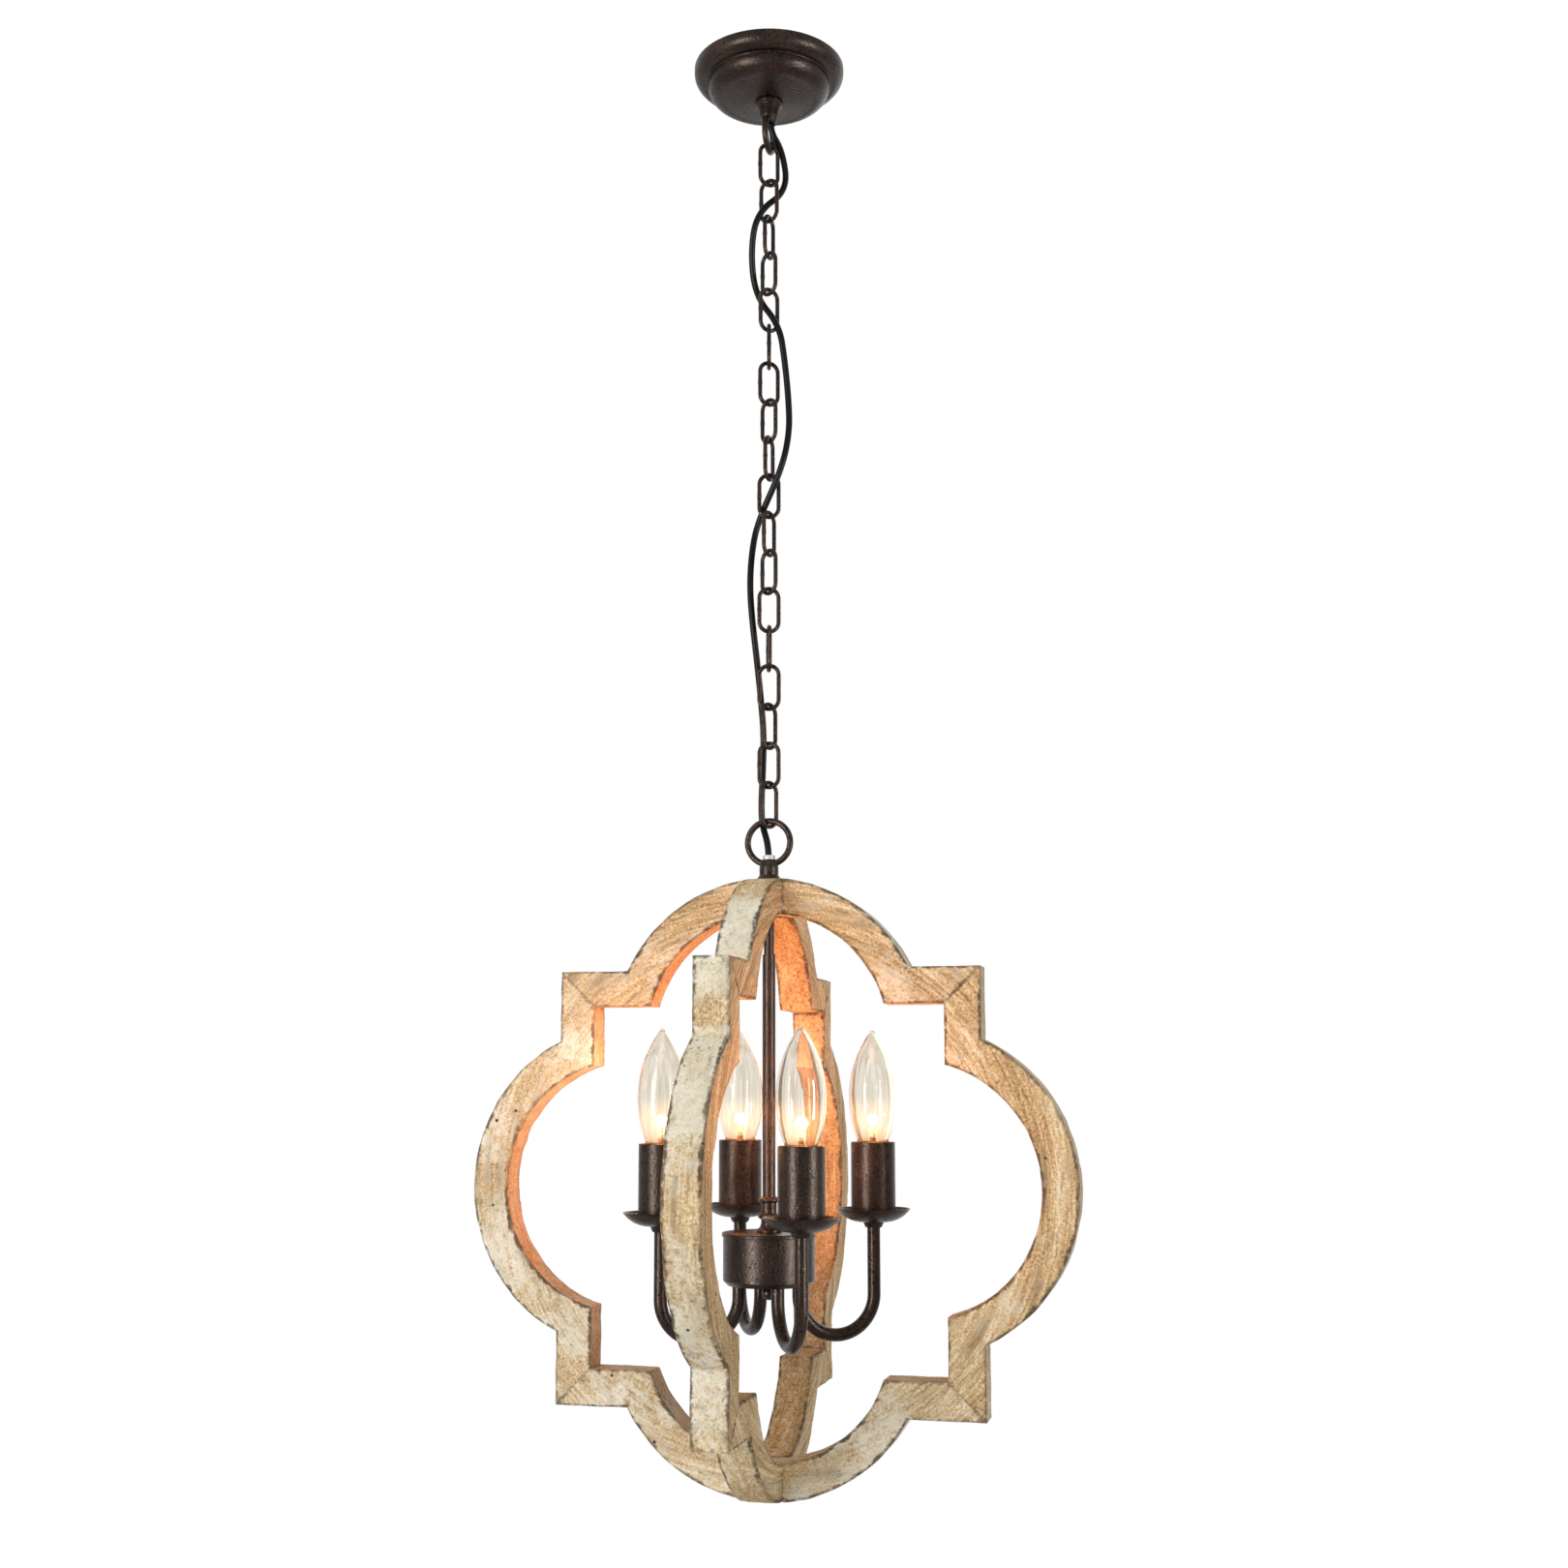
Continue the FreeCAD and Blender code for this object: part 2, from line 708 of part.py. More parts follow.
# Bushing: a moulded tube with a flange that keeps the cable off the neck's edge.
bushing_foot = neck_top - size.bushing_barrel_length
bushing_bore = size.cable_radius + size.running_gap
parts.append(turned_body("cable_bushing", [
    (bushing_bore, bushing_foot), (size.stem_radius, bushing_foot), (size.stem_radius, neck_top),
    (size.bushing_flange_radius, neck_top),
    (size.bushing_flange_radius, neck_top + size.bushing_flange_height),
    (bushing_bore, neck_top + size.bushing_flange_height)]))

# Two quatrefoil frames: four curved pieces each, mitred and dowelled where they meet in a square
# corner. Frame a stands in the XZ plane, frame b in the YZ plane, lapped at top and bottom.
lobe_centre = size.frame_reach - size.lobe_radius
inner_reach = size.corner_reach - size.wood_width
inner_lobe_radius = size.lobe_radius - size.wood_width
wood_underside = size.frame_reach - size.wood_width


def arc_height(radius, across):
    """Height of a lobe's arc where it meets a line at this distance from the middle."""
    offset = across - lobe_centre
    return root(radius * radius - offset * offset)


outer_meet = arc_height(size.lobe_radius, size.corner_reach)
inner_meet = arc_height(inner_lobe_radius, inner_reach)
LOBE = [
    (size.corner_reach, -size.corner_reach),
    (size.corner_reach, -outer_meet, size.lobe_radius, 1),
    (size.frame_reach, 0, size.lobe_radius, 1),
    (size.corner_reach, outer_meet),
    (size.corner_reach, size.corner_reach),
    (inner_reach, inner_reach),
    (inner_reach, inner_meet, inner_lobe_radius, -1),
    (wood_underside, 0, inner_lobe_radius, -1),
    (inner_reach, -inner_meet),
    (inner_reach, -inner_reach),
]
half_thickness = size.wood_thickness / 2
notch_half = half_thickness + size.fit_gap
lap_level = size.frame_reach - size.wood_width / 2
corner_middle = size.corner_reach - size.wood_width / 2


def quarter_turned(corners, quarters):
    """The corners turned anticlockwise by quarters of a turn."""
    for _ in range(quarters):
        corners = [(-corner[1], corner[0], *corner[2:]) for corner in corners]
    return corners


def notch(outer_half):
    """Outline of the lap joint's notch in a top lobe's outer or inner half."""
    low = lap_level if outer_half else wood_underside - size.overrun
    high = size.frame_reach + size.overrun if outer_half else lap_level
    return [(low, -notch_half), (high, -notch_half), (high, notch_half), (low, notch_half)]


def dowel(plane, across_side, up_side, radius, half_length):
    """A cylinder square across the mitre of one corner of a frame."""
    along = half_length / root(size_of(2))
    across = corner_middle * across_side - along * across_side
    up = frame_level + corner_middle * up_side + along * up_side
    values = {"Radius": radius, "Height": 2 * half_length}
    if plane == "XZ_Plane":
        angle = math.degrees(math.atan2(across_side, -up_side))
        return primitive("Part::Cylinder", values, x=across, z=up, angle=angle, axis=(0, 1, 0))
    angle = math.degrees(math.atan2(-across_side, -up_side))
    return primitive("Part::Cylinder", values, y=across, z=up, angle=angle, axis=(1, 0, 0))


def rod_tool(radius, low, high):
    """A cylinder on the light's axis between two levels over the frame's middle."""
    return primitive("Part::Cylinder", {"Radius": radius, "Height": high - low},
                     z=frame_level + low)


CORNERS = [((1, 1), (1, -1)), ((-1, 1), (1, 1)), ((-1, -1), (-1, 1)), ((1, -1), (-1, -1))]
FRAMES = {"a": ("XZ_Plane", ("right", "top", "left", "bottom")),
          "b": ("YZ_Plane", ("back", "top", "front", "bottom"))}
screw_hole = size.lap_screw_radius + size.fit_gap
screw_end = size.lap_screw_length + size.fit_gap
for frame, (plane, sides) in FRAMES.items():
    for quarters, side in enumerate(sides):
        lobe = new_body("Lobe")
        pad = lobe.newObject("PartDesign::Pad", "Board")
        pad.Profile = add_sketch(lobe, plane)
        draw(pad.Profile[0], quarter_turned(LOBE, quarters))
        pad.SideType = "Symmetric"
        bind(pad, "Length", size.wood_thickness)
        if quarters % 2:
            lap = lobe.newObject("PartDesign::Pocket", "Lap")
            lap.Profile = add_sketch(lobe, plane)
            draw(lap.Profile[0], quarter_turned(notch(frame == "a"), quarters))
            lap.SideType = "Symmetric"
            bind(lap, "Length", size.wood_thickness + 2 * size.overrun)
        place(lobe, z=frame_level)
        tools = [dowel(plane, *corner, size.dowel_radius + size.fit_gap,
                       size.dowel_half_length + size.running_gap)
                 for corner in CORNERS[quarters]]
        if side == "top":
            tools.append(rod_tool(stem_hole, wood_underside - size.overrun,
                                  size.frame_reach + size.overrun))
        if side == "top" and frame == "a":
            tools.append(rod_tool(size.frame_nut_radius + size.running_gap,
                                  wood_underside - size.overrun,
                                  wood_underside + size.frame_nut_recess))
        if side == "bottom":
            tools.append(rod_tool(screw_hole, -wood_underside - screw_end, -wood_underside))
        if side == "bottom" and frame == "a":
            tools.append(primitive(
                "Part::Cone",
                {"Radius1": screw_hole, "Radius2": size.lap_screw_head_radius + size.fit_gap,
                 "Height": size.lap_screw_head_height},
                z=frame_level - wood_underside - size.lap_screw_head_height))
        parts.append(cut(f"frame_{frame}_{side}", lobe, tools))
dowels = [dowel(plane, across_side, up_side, size.dowel_radius, size.dowel_half_length)
          for plane, _ in FRAMES.values() for across_side in (1, -1) for up_side in (1, -1)]
parts.append(group("mitre_dowels", dowels))

# Screw that holds the lower lap, driven from inside the light.
parts.append(turned_body("lap_screw", [
    (0, 0), (size.lap_screw_head_radius, 0), (size.lap_screw_radius, -size.lap_screw_head_height),
    (size.lap_screw_radius, -size.lap_screw_length), (0, -size.lap_screw_length)],
    z=frame_level - wood_underside))

# Round nut, sunk in the upper lap, that clamps the frames between itself and the loop.
nut_level = frame_level + wood_underside + size.frame_nut_recess - size.frame_nut_height
parts.append(turned_body("frame_nut", tube_corners(
    size.frame_nut_radius, stem_hole, 0, size.frame_nut_height), z=nut_level))

# Stem: a thin threaded tube from the neck down into the rod.
stem_top = bushing_foot - size.running_gap
rod_top = frame_level + wood_underside - size.rod_top_drop
parts.append(turned_body("stem_tube", tube_corners(
    size.stem_radius, size.stem_bore_radius,
    rod_top - size.stem_grip, stem_top)))

# Centre rod, down through the hub's lid to its floor.
hub_top = frame_level + size.hub_top
hub_bottom = hub_top - size.hub_depth
hub_floor = hub_bottom + size.hub_wall
rod_hole = size.rod_radius + size.fit_gap
parts.append(turned_body("centre_rod", tube_corners(
    size.rod_radius, stem_hole, hub_floor + size.running_gap, rod_top)))

# Cable inside the stem and the rod, from the end of the free cable to the hub.
cable_low = frame_level + size.rod_cable_stop
rod_cable = primitive("Part::Cylinder", {
    "Radius": size.cable_radius, "Height": CABLE_ROUTE[-1][2] - size.running_gap - cable_low},
    z=cable_low)
rod_cable.Label = "rod_cable"
parts.append(rod_cable)

# Turned collar on the rod: a flared foot on the hub and two beads.
spindle_top = hub_top + size.spindle_length
spindle_corners = [
    (rod_hole, hub_top),
    (size.spindle_foot_radius, hub_top),
    (size.spindle_foot_radius, hub_top + size.spindle_foot_height),
    (size.spindle_waist, hub_top + size.spindle_foot_height + size.spindle_flare_height),
]
for bead in (size.spindle_lower_bead, size.spindle_upper_bead):
    spindle_corners += [
        (size.spindle_waist, hub_top + bead - size.spindle_bead_half_height,
         size.spindle_bead_radius, 1),
        (size.spindle_waist, hub_top + bead + size.spindle_bead_half_height)]
spindle_corners += [(size.spindle_waist, spindle_top), (rod_hole, spindle_top)]
parts.append(turned_body("spindle_collar", spindle_corners))

# Hub: a spun cup that holds the four arms, and a lid whose spigot drops into it.
lid_bottom = hub_top - size.hub_lid_thickness
spigot_bottom = lid_bottom - size.hub_spigot_depth
spigot_radius = size.hub_radius - size.hub_wall - size.running_gap
parts.append(turned_body("hub_lid", [
    (rod_hole, spigot_bottom), (spigot_radius, spigot_bottom), (spigot_radius, lid_bottom),
    (size.hub_lid_radius, lid_bottom), (size.hub_lid_radius, hub_top - size.hub_lid_edge),
    (size.hub_lid_radius - size.hub_lid_edge, hub_top), (rod_hole, hub_top)]))

chamfer_setback = size.hub_wall * (root(size_of(2)) - 1)
cup = turned_body("Cup", [
    (stem_hole, hub_bottom), (size.hub_radius - size.hub_chamfer, hub_bottom),
    (size.hub_radius, hub_bottom + size.hub_chamfer), (size.hub_radius, lid_bottom),
    (size.hub_radius - size.hub_wall, lid_bottom),
    (size.hub_radius - size.hub_wall, hub_bottom + size.hub_chamfer + chamfer_setback),
    (size.hub_radius - size.hub_chamfer - chamfer_setback, hub_floor),
    (stem_hole, hub_floor)])
TURNS = [size.cluster_turn + 90 * number for number in range(4)]
arm_hole = size.arm_radius + size.fit_gap
parts.append(cut("hub_cup", cup, [
    primitive("Part::Cylinder", {"Radius": arm_hole, "Height": size.hub_wall + 2 * size.overrun},
              **round_the_axis(size.arm_root, turn, hub_bottom - size.overrun))
    for turn in TURNS]))

# Finial: a ball on a disc, with a stud that goes up into the rod.
ball_join = root(size.finial_ball_radius * size.finial_ball_radius
                 - size.finial_neck_radius * size.finial_neck_radius)
ball_level = size.finial_ball_radius - size.finial_length
parts.append(turned_body("hub_finial", [
    (0, -size.finial_length), (0, size.finial_stud_rise),
    (size.stem_radius, size.finial_stud_rise), (size.stem_radius, 0),
    (size.finial_disc_radius, 0), (size.finial_disc_radius, -size.finial_disc_height),
    (size.finial_neck_radius, -size.finial_disc_height),
    (size.finial_neck_radius, ball_level + ball_join, size.finial_ball_radius, -1)],
    z=hub_bottom))

# Levels along a candle, measured from the frame's middle, that its pieces share.
pan_floor = size.pan_base + size.pan_wall
nut_top = pan_floor + size.arm_nut_thickness
holder_bottom = nut_top + size.holder_clearance
tip_level = size.pan_base + size.arm_tip_rise
contact_top = size.holder_seat + size.contact_height
cap_bottom = contact_top + size.running_gap
cap_top = cap_bottom + size.cap_height
glass_foot = cap_top - size.cap_rim_depth
collar_middle = (size.arm_radius + size.arm_bore_radius) / 2


def arm(label, **spot):
    """Bent tube from the hub's floor down, round half a circle and up to the lamp, with a brazed
    collar for the drip pan to sit on. Its outer leg stands on the body's own axis."""
    span = size.arm_reach - size.arm_root
    root_top = hub_bottom - frame_level + size.arm_root_rise
    body = new_body(label)
    path = add_sketch(body, "XZ_Plane")
    draw(path, [(0, tip_level), (0, size.arm_bend_level, span / 2, -1),
                (-span, size.arm_bend_level), (-span, root_top)], closed=False)
    ring = add_sketch(body, "XY_Plane", tip_level)
    draw_circle(ring, 0, 0, size.arm_radius)
    draw_circle(ring, 0, 0, size.arm_bore_radius)
    tube = body.newObject("PartDesign::AdditivePipe", "Tube")
    tube.Profile = ring
    tube.Spine = path
    revolve(body, [(collar_middle, size.pan_base), (collar_middle, collar_low),
                   (size.arm_collar_foot_radius, collar_low), (size.arm_collar_radius, size.pan_base)])
    return place(body, **spot)


collar_low = size.pan_base - size.arm_collar_height
rise = size.bulb_widest - size.sleeve_top
swell = size.bulb_radius - size.bulb_neck_radius
lower_curve = (rise * rise + swell * swell) / (2 * swell)
tip_base = size.bulb_tip - size.bulb_tip_drop
reach = tip_base - size.bulb_widest
draw_in = size.bulb_radius - size.bulb_tip_radius
upper_curve = (reach * reach + draw_in * draw_in) / (2 * draw_in)
tip_curve = ((size.bulb_tip_radius * size.bulb_tip_radius
              + size.bulb_tip_drop * size.bulb_tip_drop) / (2 * size.bulb_tip_drop))
wall = size.glass_wall
pan_rim = size.pan_base + size.pan_depth
pan_reach = size.pan_radius - size.pan_flat_radius
pan_curve = (pan_reach * pan_reach + size.pan_depth * size.pan_depth) / (2 * size.pan_depth)
pan_hollow = pan_curve - size.pan_wall
pan_middle = size.pan_base + pan_curve


def pan_top(across):
    """Level of the pan's hollow side at a distance from the pan's axis."""
    offset = across - size.pan_flat_radius
    return pan_middle - root(pan_hollow * pan_hollow - offset * offset)


rim_drop = pan_curve - size.pan_depth
rim_inside = size.pan_flat_radius + root(pan_hollow * pan_hollow - rim_drop * rim_drop)

# Outlines of the round pieces of a candle, about its own axis.
PAN = [
    (arm_hole, size.pan_base),
    (size.pan_flat_radius, size.pan_base, pan_curve, 1),
    (size.pan_radius, pan_rim),
    (rim_inside, pan_rim, pan_hollow, -1),
    (size.pan_flat_radius, pan_floor),
    (arm_hole, pan_floor),
]
SLEEVE = tube_corners(size.sleeve_radius, size.sleeve_radius - size.sleeve_wall,
                      pan_top(size.sleeve_radius) + size.fit_gap, size.sleeve_top)
holder_radius = size.sleeve_radius - size.sleeve_wall - size.holder_gap
holder_bore = size.cap_radius + size.holder_clearance
holder_top = size.sleeve_top - size.holder_drop
HOLDER = [
    (arm_hole, holder_bottom), (holder_radius, holder_bottom), (holder_radius, holder_top),
    (holder_bore, holder_top), (holder_bore, size.holder_seat),
    (size.contact_radius, size.holder_seat), (size.contact_radius, contact_top),
    (0, contact_top), (0, tip_level + size.running_gap), (arm_hole, tip_level + size.running_gap),
]
CAP = [
    (0, cap_bottom), (size.cap_button_radius, cap_bottom),
    (size.cap_radius, cap_bottom + size.cap_cone_height), (size.cap_radius, cap_top),
    (size.bulb_neck_radius + size.fit_gap, cap_top),
    (size.bulb_neck_radius + size.fit_gap, glass_foot), (0, glass_foot),
]
GLASS = [
    (size.bulb_neck_radius, glass_foot),
    (size.bulb_neck_radius, size.sleeve_top, lower_curve, 1),
    (size.bulb_radius, size.bulb_widest, upper_curve, 1),
    (size.bulb_tip_radius, tip_base, tip_curve, 1),
    (0, size.bulb_tip),
    (0, tip_base),
    (size.bulb_tip_radius - wall, tip_base, upper_curve, -1),
    (size.bulb_radius - wall, size.bulb_widest, lower_curve, -1),
    (size.bulb_neck_radius - wall, size.sleeve_top),
    (size.bulb_neck_radius - wall, glass_foot),
]
mount_top = glass_foot + size.mount_height
MOUNT = [
    (0, glass_foot), (size.mount_base_radius, glass_foot),
    (size.mount_base_radius, glass_foot + size.mount_base_height),
    (size.mount_foot_radius, glass_foot + 2 * size.mount_base_height),
    (size.mount_top_radius, mount_top), (0, mount_top),
]


def filament(label, **spot):
    """Glass mount with two support wires that part upwards to the ends of the filament."""
    foot = size.mount_top_radius - 2 * size.support_radius
    low = mount_top - size.running_gap
    spread = size.filament_half_span - foot
    height = size.filament_level - low
    length = root(spread * spread + height * height)
    pieces = [turned_body("Mount", MOUNT)]
    for side in (1, -1):
        pieces.append(primitive(
            "Part::Cylinder", {"Radius": size.support_radius, "Height": length},
            x=foot * side, z=low, angle=arctan(spread, height) * side, axis=(0, 1, 0)))
    pieces.append(primitive(
        "Part::Cylinder",
        {"Radius": size.filament_radius, "Height": 2 * size.filament_half_span},
        x=-size.filament_half_span, z=size.filament_level, angle=90, axis=(0, 1, 0)))
    return place(fuse(label, pieces), **spot)


stations = [round_the_axis(size.arm_reach, turn, frame_level) for turn in TURNS]
for number, station in enumerate(stations, start=1):
    parts.append(arm(f"arm_{number}", **station))
    parts.append(turned_body(f"drip_pan_{number}", PAN, **station))
    parts.append(turned_body(f"candle_sleeve_{number}", SLEEVE, **station))
    parts.append(turned_body(f"bulb_cap_{number}", CAP, **station))
    parts.append(turned_body(f"bulb_glass_{number}", GLASS, **station))
    parts.append(filament(f"bulb_filament_{number}", **station))
holder_form = turned_body("HolderForm", HOLDER)
parts.append(group("lamp_holders", copies(holder_form, stations)))

# Lock nuts: one on each arm inside the hub, and one on each over its drip pan.
hub_spots = [round_the_axis(size.arm_root, turn, hub_floor) for turn in TURNS]
pan_spots = [round_the_axis(size.arm_reach, turn, frame_level + pan_floor) for turn in TURNS]
parts.append(group("arm_nuts", [
    hex_nut(size.arm_nut_circumradius, size.arm_nut_thickness, arm_hole,
            **{**spot, "angle": spot["angle"] + size.arm_nut_turn})
    for spot in hub_spots + pan_spots]))

doc.recompute()
for thing in doc.Objects:
    if "Invalid" in thing.State or "Error" in thing.State:
        raise RuntimeError(f"{thing.Name} ({thing.TypeId}) failed: {thing.getStatusString()}")
for part in parts:
    if part.Shape.isNull() or not part.Shape.isValid() or not part.Shape.Solids:
        raise RuntimeError(f"{part.Label} has no valid solid")

os.makedirs("parts", exist_ok=True)
for part in parts:
    part.Shape.exportStep(f"parts/{part.Label}.step")
print(len(parts), "parts written")
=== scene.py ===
import math

import bmesh
import bpy
import numpy as np
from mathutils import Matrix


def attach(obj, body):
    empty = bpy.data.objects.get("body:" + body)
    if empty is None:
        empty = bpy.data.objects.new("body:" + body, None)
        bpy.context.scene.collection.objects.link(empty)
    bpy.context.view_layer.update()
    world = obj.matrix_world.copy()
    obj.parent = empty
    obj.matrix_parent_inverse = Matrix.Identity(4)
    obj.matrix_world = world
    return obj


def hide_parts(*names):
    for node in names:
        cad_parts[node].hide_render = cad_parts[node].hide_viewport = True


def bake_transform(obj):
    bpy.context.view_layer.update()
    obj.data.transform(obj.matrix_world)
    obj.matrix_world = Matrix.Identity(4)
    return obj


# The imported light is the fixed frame. The ceiling plane is z = 0, +Z is up and the viewer stands
# on the -Y side. Sizes are written in millimetres.
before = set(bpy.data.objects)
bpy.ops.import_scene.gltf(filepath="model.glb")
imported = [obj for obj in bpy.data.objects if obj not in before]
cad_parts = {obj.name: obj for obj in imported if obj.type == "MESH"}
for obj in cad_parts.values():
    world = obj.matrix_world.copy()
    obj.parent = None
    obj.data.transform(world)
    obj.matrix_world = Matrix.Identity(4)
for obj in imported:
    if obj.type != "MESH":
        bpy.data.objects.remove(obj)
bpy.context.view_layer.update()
MM = 0.001

# Camera: the photograph was taken from a little over the middle of the orb, turned to its right,
# with the lens tilted up towards the ceiling. The frame's corners in the photograph give the place.
ORB_LEVEL = -887.0
EYE_DISTANCE, EYE_RISE = 1388.9, 72.8
EYE_TURN, EYE_TILT = math.radians(13.96), math.radians(7.62)
PHOTO_WIDTH, FOCAL_PIXELS, AXIS_ACROSS, AXIS_DOWN = 1620, 1900, 794.5, 870
camera = bpy.data.objects.new("Camera", bpy.data.cameras.new("Camera"))
bpy.context.scene.collection.objects.link(camera)
camera.data.sensor_width = 36
camera.data.lens = camera.data.sensor_width * FOCAL_PIXELS / PHOTO_WIDTH
camera.data.shift_x = (PHOTO_WIDTH / 2 - AXIS_ACROSS) / PHOTO_WIDTH
camera.data.shift_y = (AXIS_DOWN - PHOTO_WIDTH / 2) / PHOTO_WIDTH
camera.location = (EYE_DISTANCE * MM * math.sin(EYE_TURN), -EYE_DISTANCE * MM * math.cos(EYE_TURN),
                   (ORB_LEVEL + EYE_RISE) * MM)
camera.rotation_euler = (math.pi / 2 + EYE_TILT, 0, EYE_TURN)
bpy.context.scene.camera = camera
bpy.context.scene.view_settings.view_transform = "Standard"

# Supply cable: round black rubber flex, 5 mm thick. It hangs from the loop under the canopy, is
# woven three times through the chain, hangs behind its lower half and ends in the neck's bushing.
CABLE_DIAMETER = 5.0
CABLE_ROUTE = [
    (0.0, 0.0, -30.0), (0.0, 0.0, -50.6), (9.1, 8.8, -65.6), (12.0, 14.8, -96.9),
    (-6.8, -12.9, -126.4), (-13.6, -5.9, -156.8), (-13.2, 9.0, -186.5), (10.5, -8.5, -220.0),
    (14.0, -4.5, -249.0), (16.2, -1.1, -280.0), (17.0, -1.9, -306.0), (12.5, -9.0, -337.5),
    (-11.5, 8.0, -374.0), (-15.0, 3.6, -400.5), (-15.5, 0.4, -428.0), (-13.5, 0.8, -455.5),
    (-10.8, 4.5, -485.0), (-8.3, 7.0, -514.5), (-6.0, 8.0, -544.0), (-6.8, 7.6, -574.0),
    (-7.8, 7.0, -597.0), (-7.0, 6.0, -614.0), (0.0, 0.0, -632.0), (0.0, 0.0, -648.0),
]


def hex_colour(code):
    """Linear colour, with alpha 1, of an sRGB hex code such as #DEBE91."""
    parts = [int(code[i:i + 2], 16) / 255 for i in (1, 3, 5)]
    return [c / 12.92 if c <= 0.04045 else ((c + 0.055) / 1.055) ** 2.4 for c in parts] + [1.0]


def add_node(tree, kind, settings=None, sockets=None):
    """A node with its own settings, and each socket, by name or number, fed by another node's
    output or set to a value."""
    node = tree.nodes.new(kind)
    for name, value in (settings or {}).items():
        setattr(node, name, value)
    for name, value in (sockets or {}).items():
        if isinstance(value, bpy.types.NodeSocket):
            tree.links.new(value, node.inputs[name])
        else:
            node.inputs[name].default_value = value
    return node


def new_material(name):
    """An empty node material: its tree and its output node."""
    material = bpy.data.materials.new(name)
    material.use_nodes = True
    material.node_tree.nodes.clear()
    return material, material.node_tree, add_node(material.node_tree, "ShaderNodeOutputMaterial")


def colour_ramp(tree, factor, stops):
    """A colour ramp over (position, hex colour) stops."""
    ramp = add_node(tree, "ShaderNodeValToRGB", {}, {0: factor})
    while len(ramp.color_ramp.elements) < len(stops):
        ramp.color_ramp.elements.new(0.5)
    for element, (position, code) in zip(ramp.color_ramp.elements, stops):
        element.position = position
        element.color = hex_colour(code)
    return ramp.outputs["Color"]


def value_ramp(tree, factor, low, high, bottom=0.0, top=1.0):
    """Maps low to high onto bottom to top, clamped, with soft ends."""
    node = add_node(tree, "ShaderNodeMapRange", {"interpolation_type": "SMOOTHSTEP"},
                    {0: factor, 1: low, 2: high, 3: bottom, 4: top})
    return node.outputs[0]


def combine(tree, operation, first, second):
    """One arithmetic step on two values."""
    return add_node(tree, "ShaderNodeMath", {"operation": operation},
                    {0: first, 1: second}).outputs[0]


def blend_colour(tree, factor, under, over, how="MIX"):
    """Lays one colour over another."""
    node = add_node(tree, "ShaderNodeMix", {"data_type": "RGBA", "blend_type": how},
                    {"Factor": factor, 6: under, 7: over})
    return node.outputs[2]


def grid_faces(rows, columns, close_rows=False, close_columns=False):
    """Quads of a grid of points numbered row by row, wrapped where a direction is closed."""
    row = np.arange(rows if close_rows else rows - 1)
    column = np.arange(columns if close_columns else columns - 1)
    first, second = np.meshgrid(row, column, indexing="ij")
    after, beside = (first + 1) % rows, (second + 1) % columns
    corners = (first * columns + second, first * columns + beside,
               after * columns + beside, after * columns + second)
    return np.stack(corners, axis=-1).reshape(-1, 4).tolist()


def tube(path, radius, closed=False, sides=16):
    """A round tube: a circle of the given radius, one or one for each point, carried along the
    path without twist. Returns the shell's points and faces, its ends closed by flat faces."""
    path = np.asarray(path, float)
    ahead = np.roll(path, -1, 0) - np.roll(path, 1, 0)
    if not closed:
        ahead[0], ahead[-1] = path[1] - path[0], path[-1] - path[-2]
    ahead /= np.linalg.norm(ahead, axis=1, keepdims=True)
    side = np.zeros_like(path)
    start = np.cross(ahead[0], (0, 0, 1) if abs(ahead[0][2]) < 0.9 else (0, 1, 0))
    side[0] = start / np.linalg.norm(start)
    for number in range(1, len(path)):
        carried = side[number - 1] - ahead[number] * (side[number - 1] @ ahead[number])
        side[number] = carried / np.linalg.norm(carried)
    up = np.cross(ahead, side)
    angle = np.linspace(0, 2 * math.pi, sides, endpoint=False)
    reach = np.broadcast_to(np.asarray(radius, float).reshape(-1, 1, 1), (len(path), sides, 1))
    points = path[:, None] + reach * (np.cos(angle)[None, :, None] * side[:, None]
                                      + np.sin(angle)[None, :, None] * up[:, None])
    faces = grid_faces(len(path), sides, closed, True)
    if not closed:
        faces.append(list(range(sides)))
        faces.append(list(range((len(path) - 1) * sides, len(path) * sides))[::-1])
    return points.reshape(-1, 3), faces


def piece(name, shells, material, sharp=38):
    """A mesh object of one or more closed shells, in millimetres, with its place in its mesh.
    Doubled points are merged, faces point outwards, and edges over the sharp angle stay crisp."""
    points, faces, count = [], [], 0
    for shell_points, shell_faces in shells:
        points.append(np.asarray(shell_points))
        faces += [[index + count for index in face] for face in shell_faces]
        count += len(shell_points)
    mesh = bpy.data.meshes.new(name)
    mesh.from_pydata((np.concatenate(points) * MM).tolist(), [], faces)
    work = bmesh.new()
    work.from_mesh(mesh)
    bmesh.ops.remove_doubles(work, verts=work.verts, dist=1e-6)
    bmesh.ops.recalc_face_normals(work, faces=work.faces)
    work.to_mesh(mesh)
    work.free()
    mesh.shade_smooth()
    mesh.set_sharp_from_angle(angle=math.radians(sharp))
    mesh.materials.append(material)
    made = bpy.data.objects.new(name, mesh)
    bpy.context.scene.collection.objects.link(made)
    return made


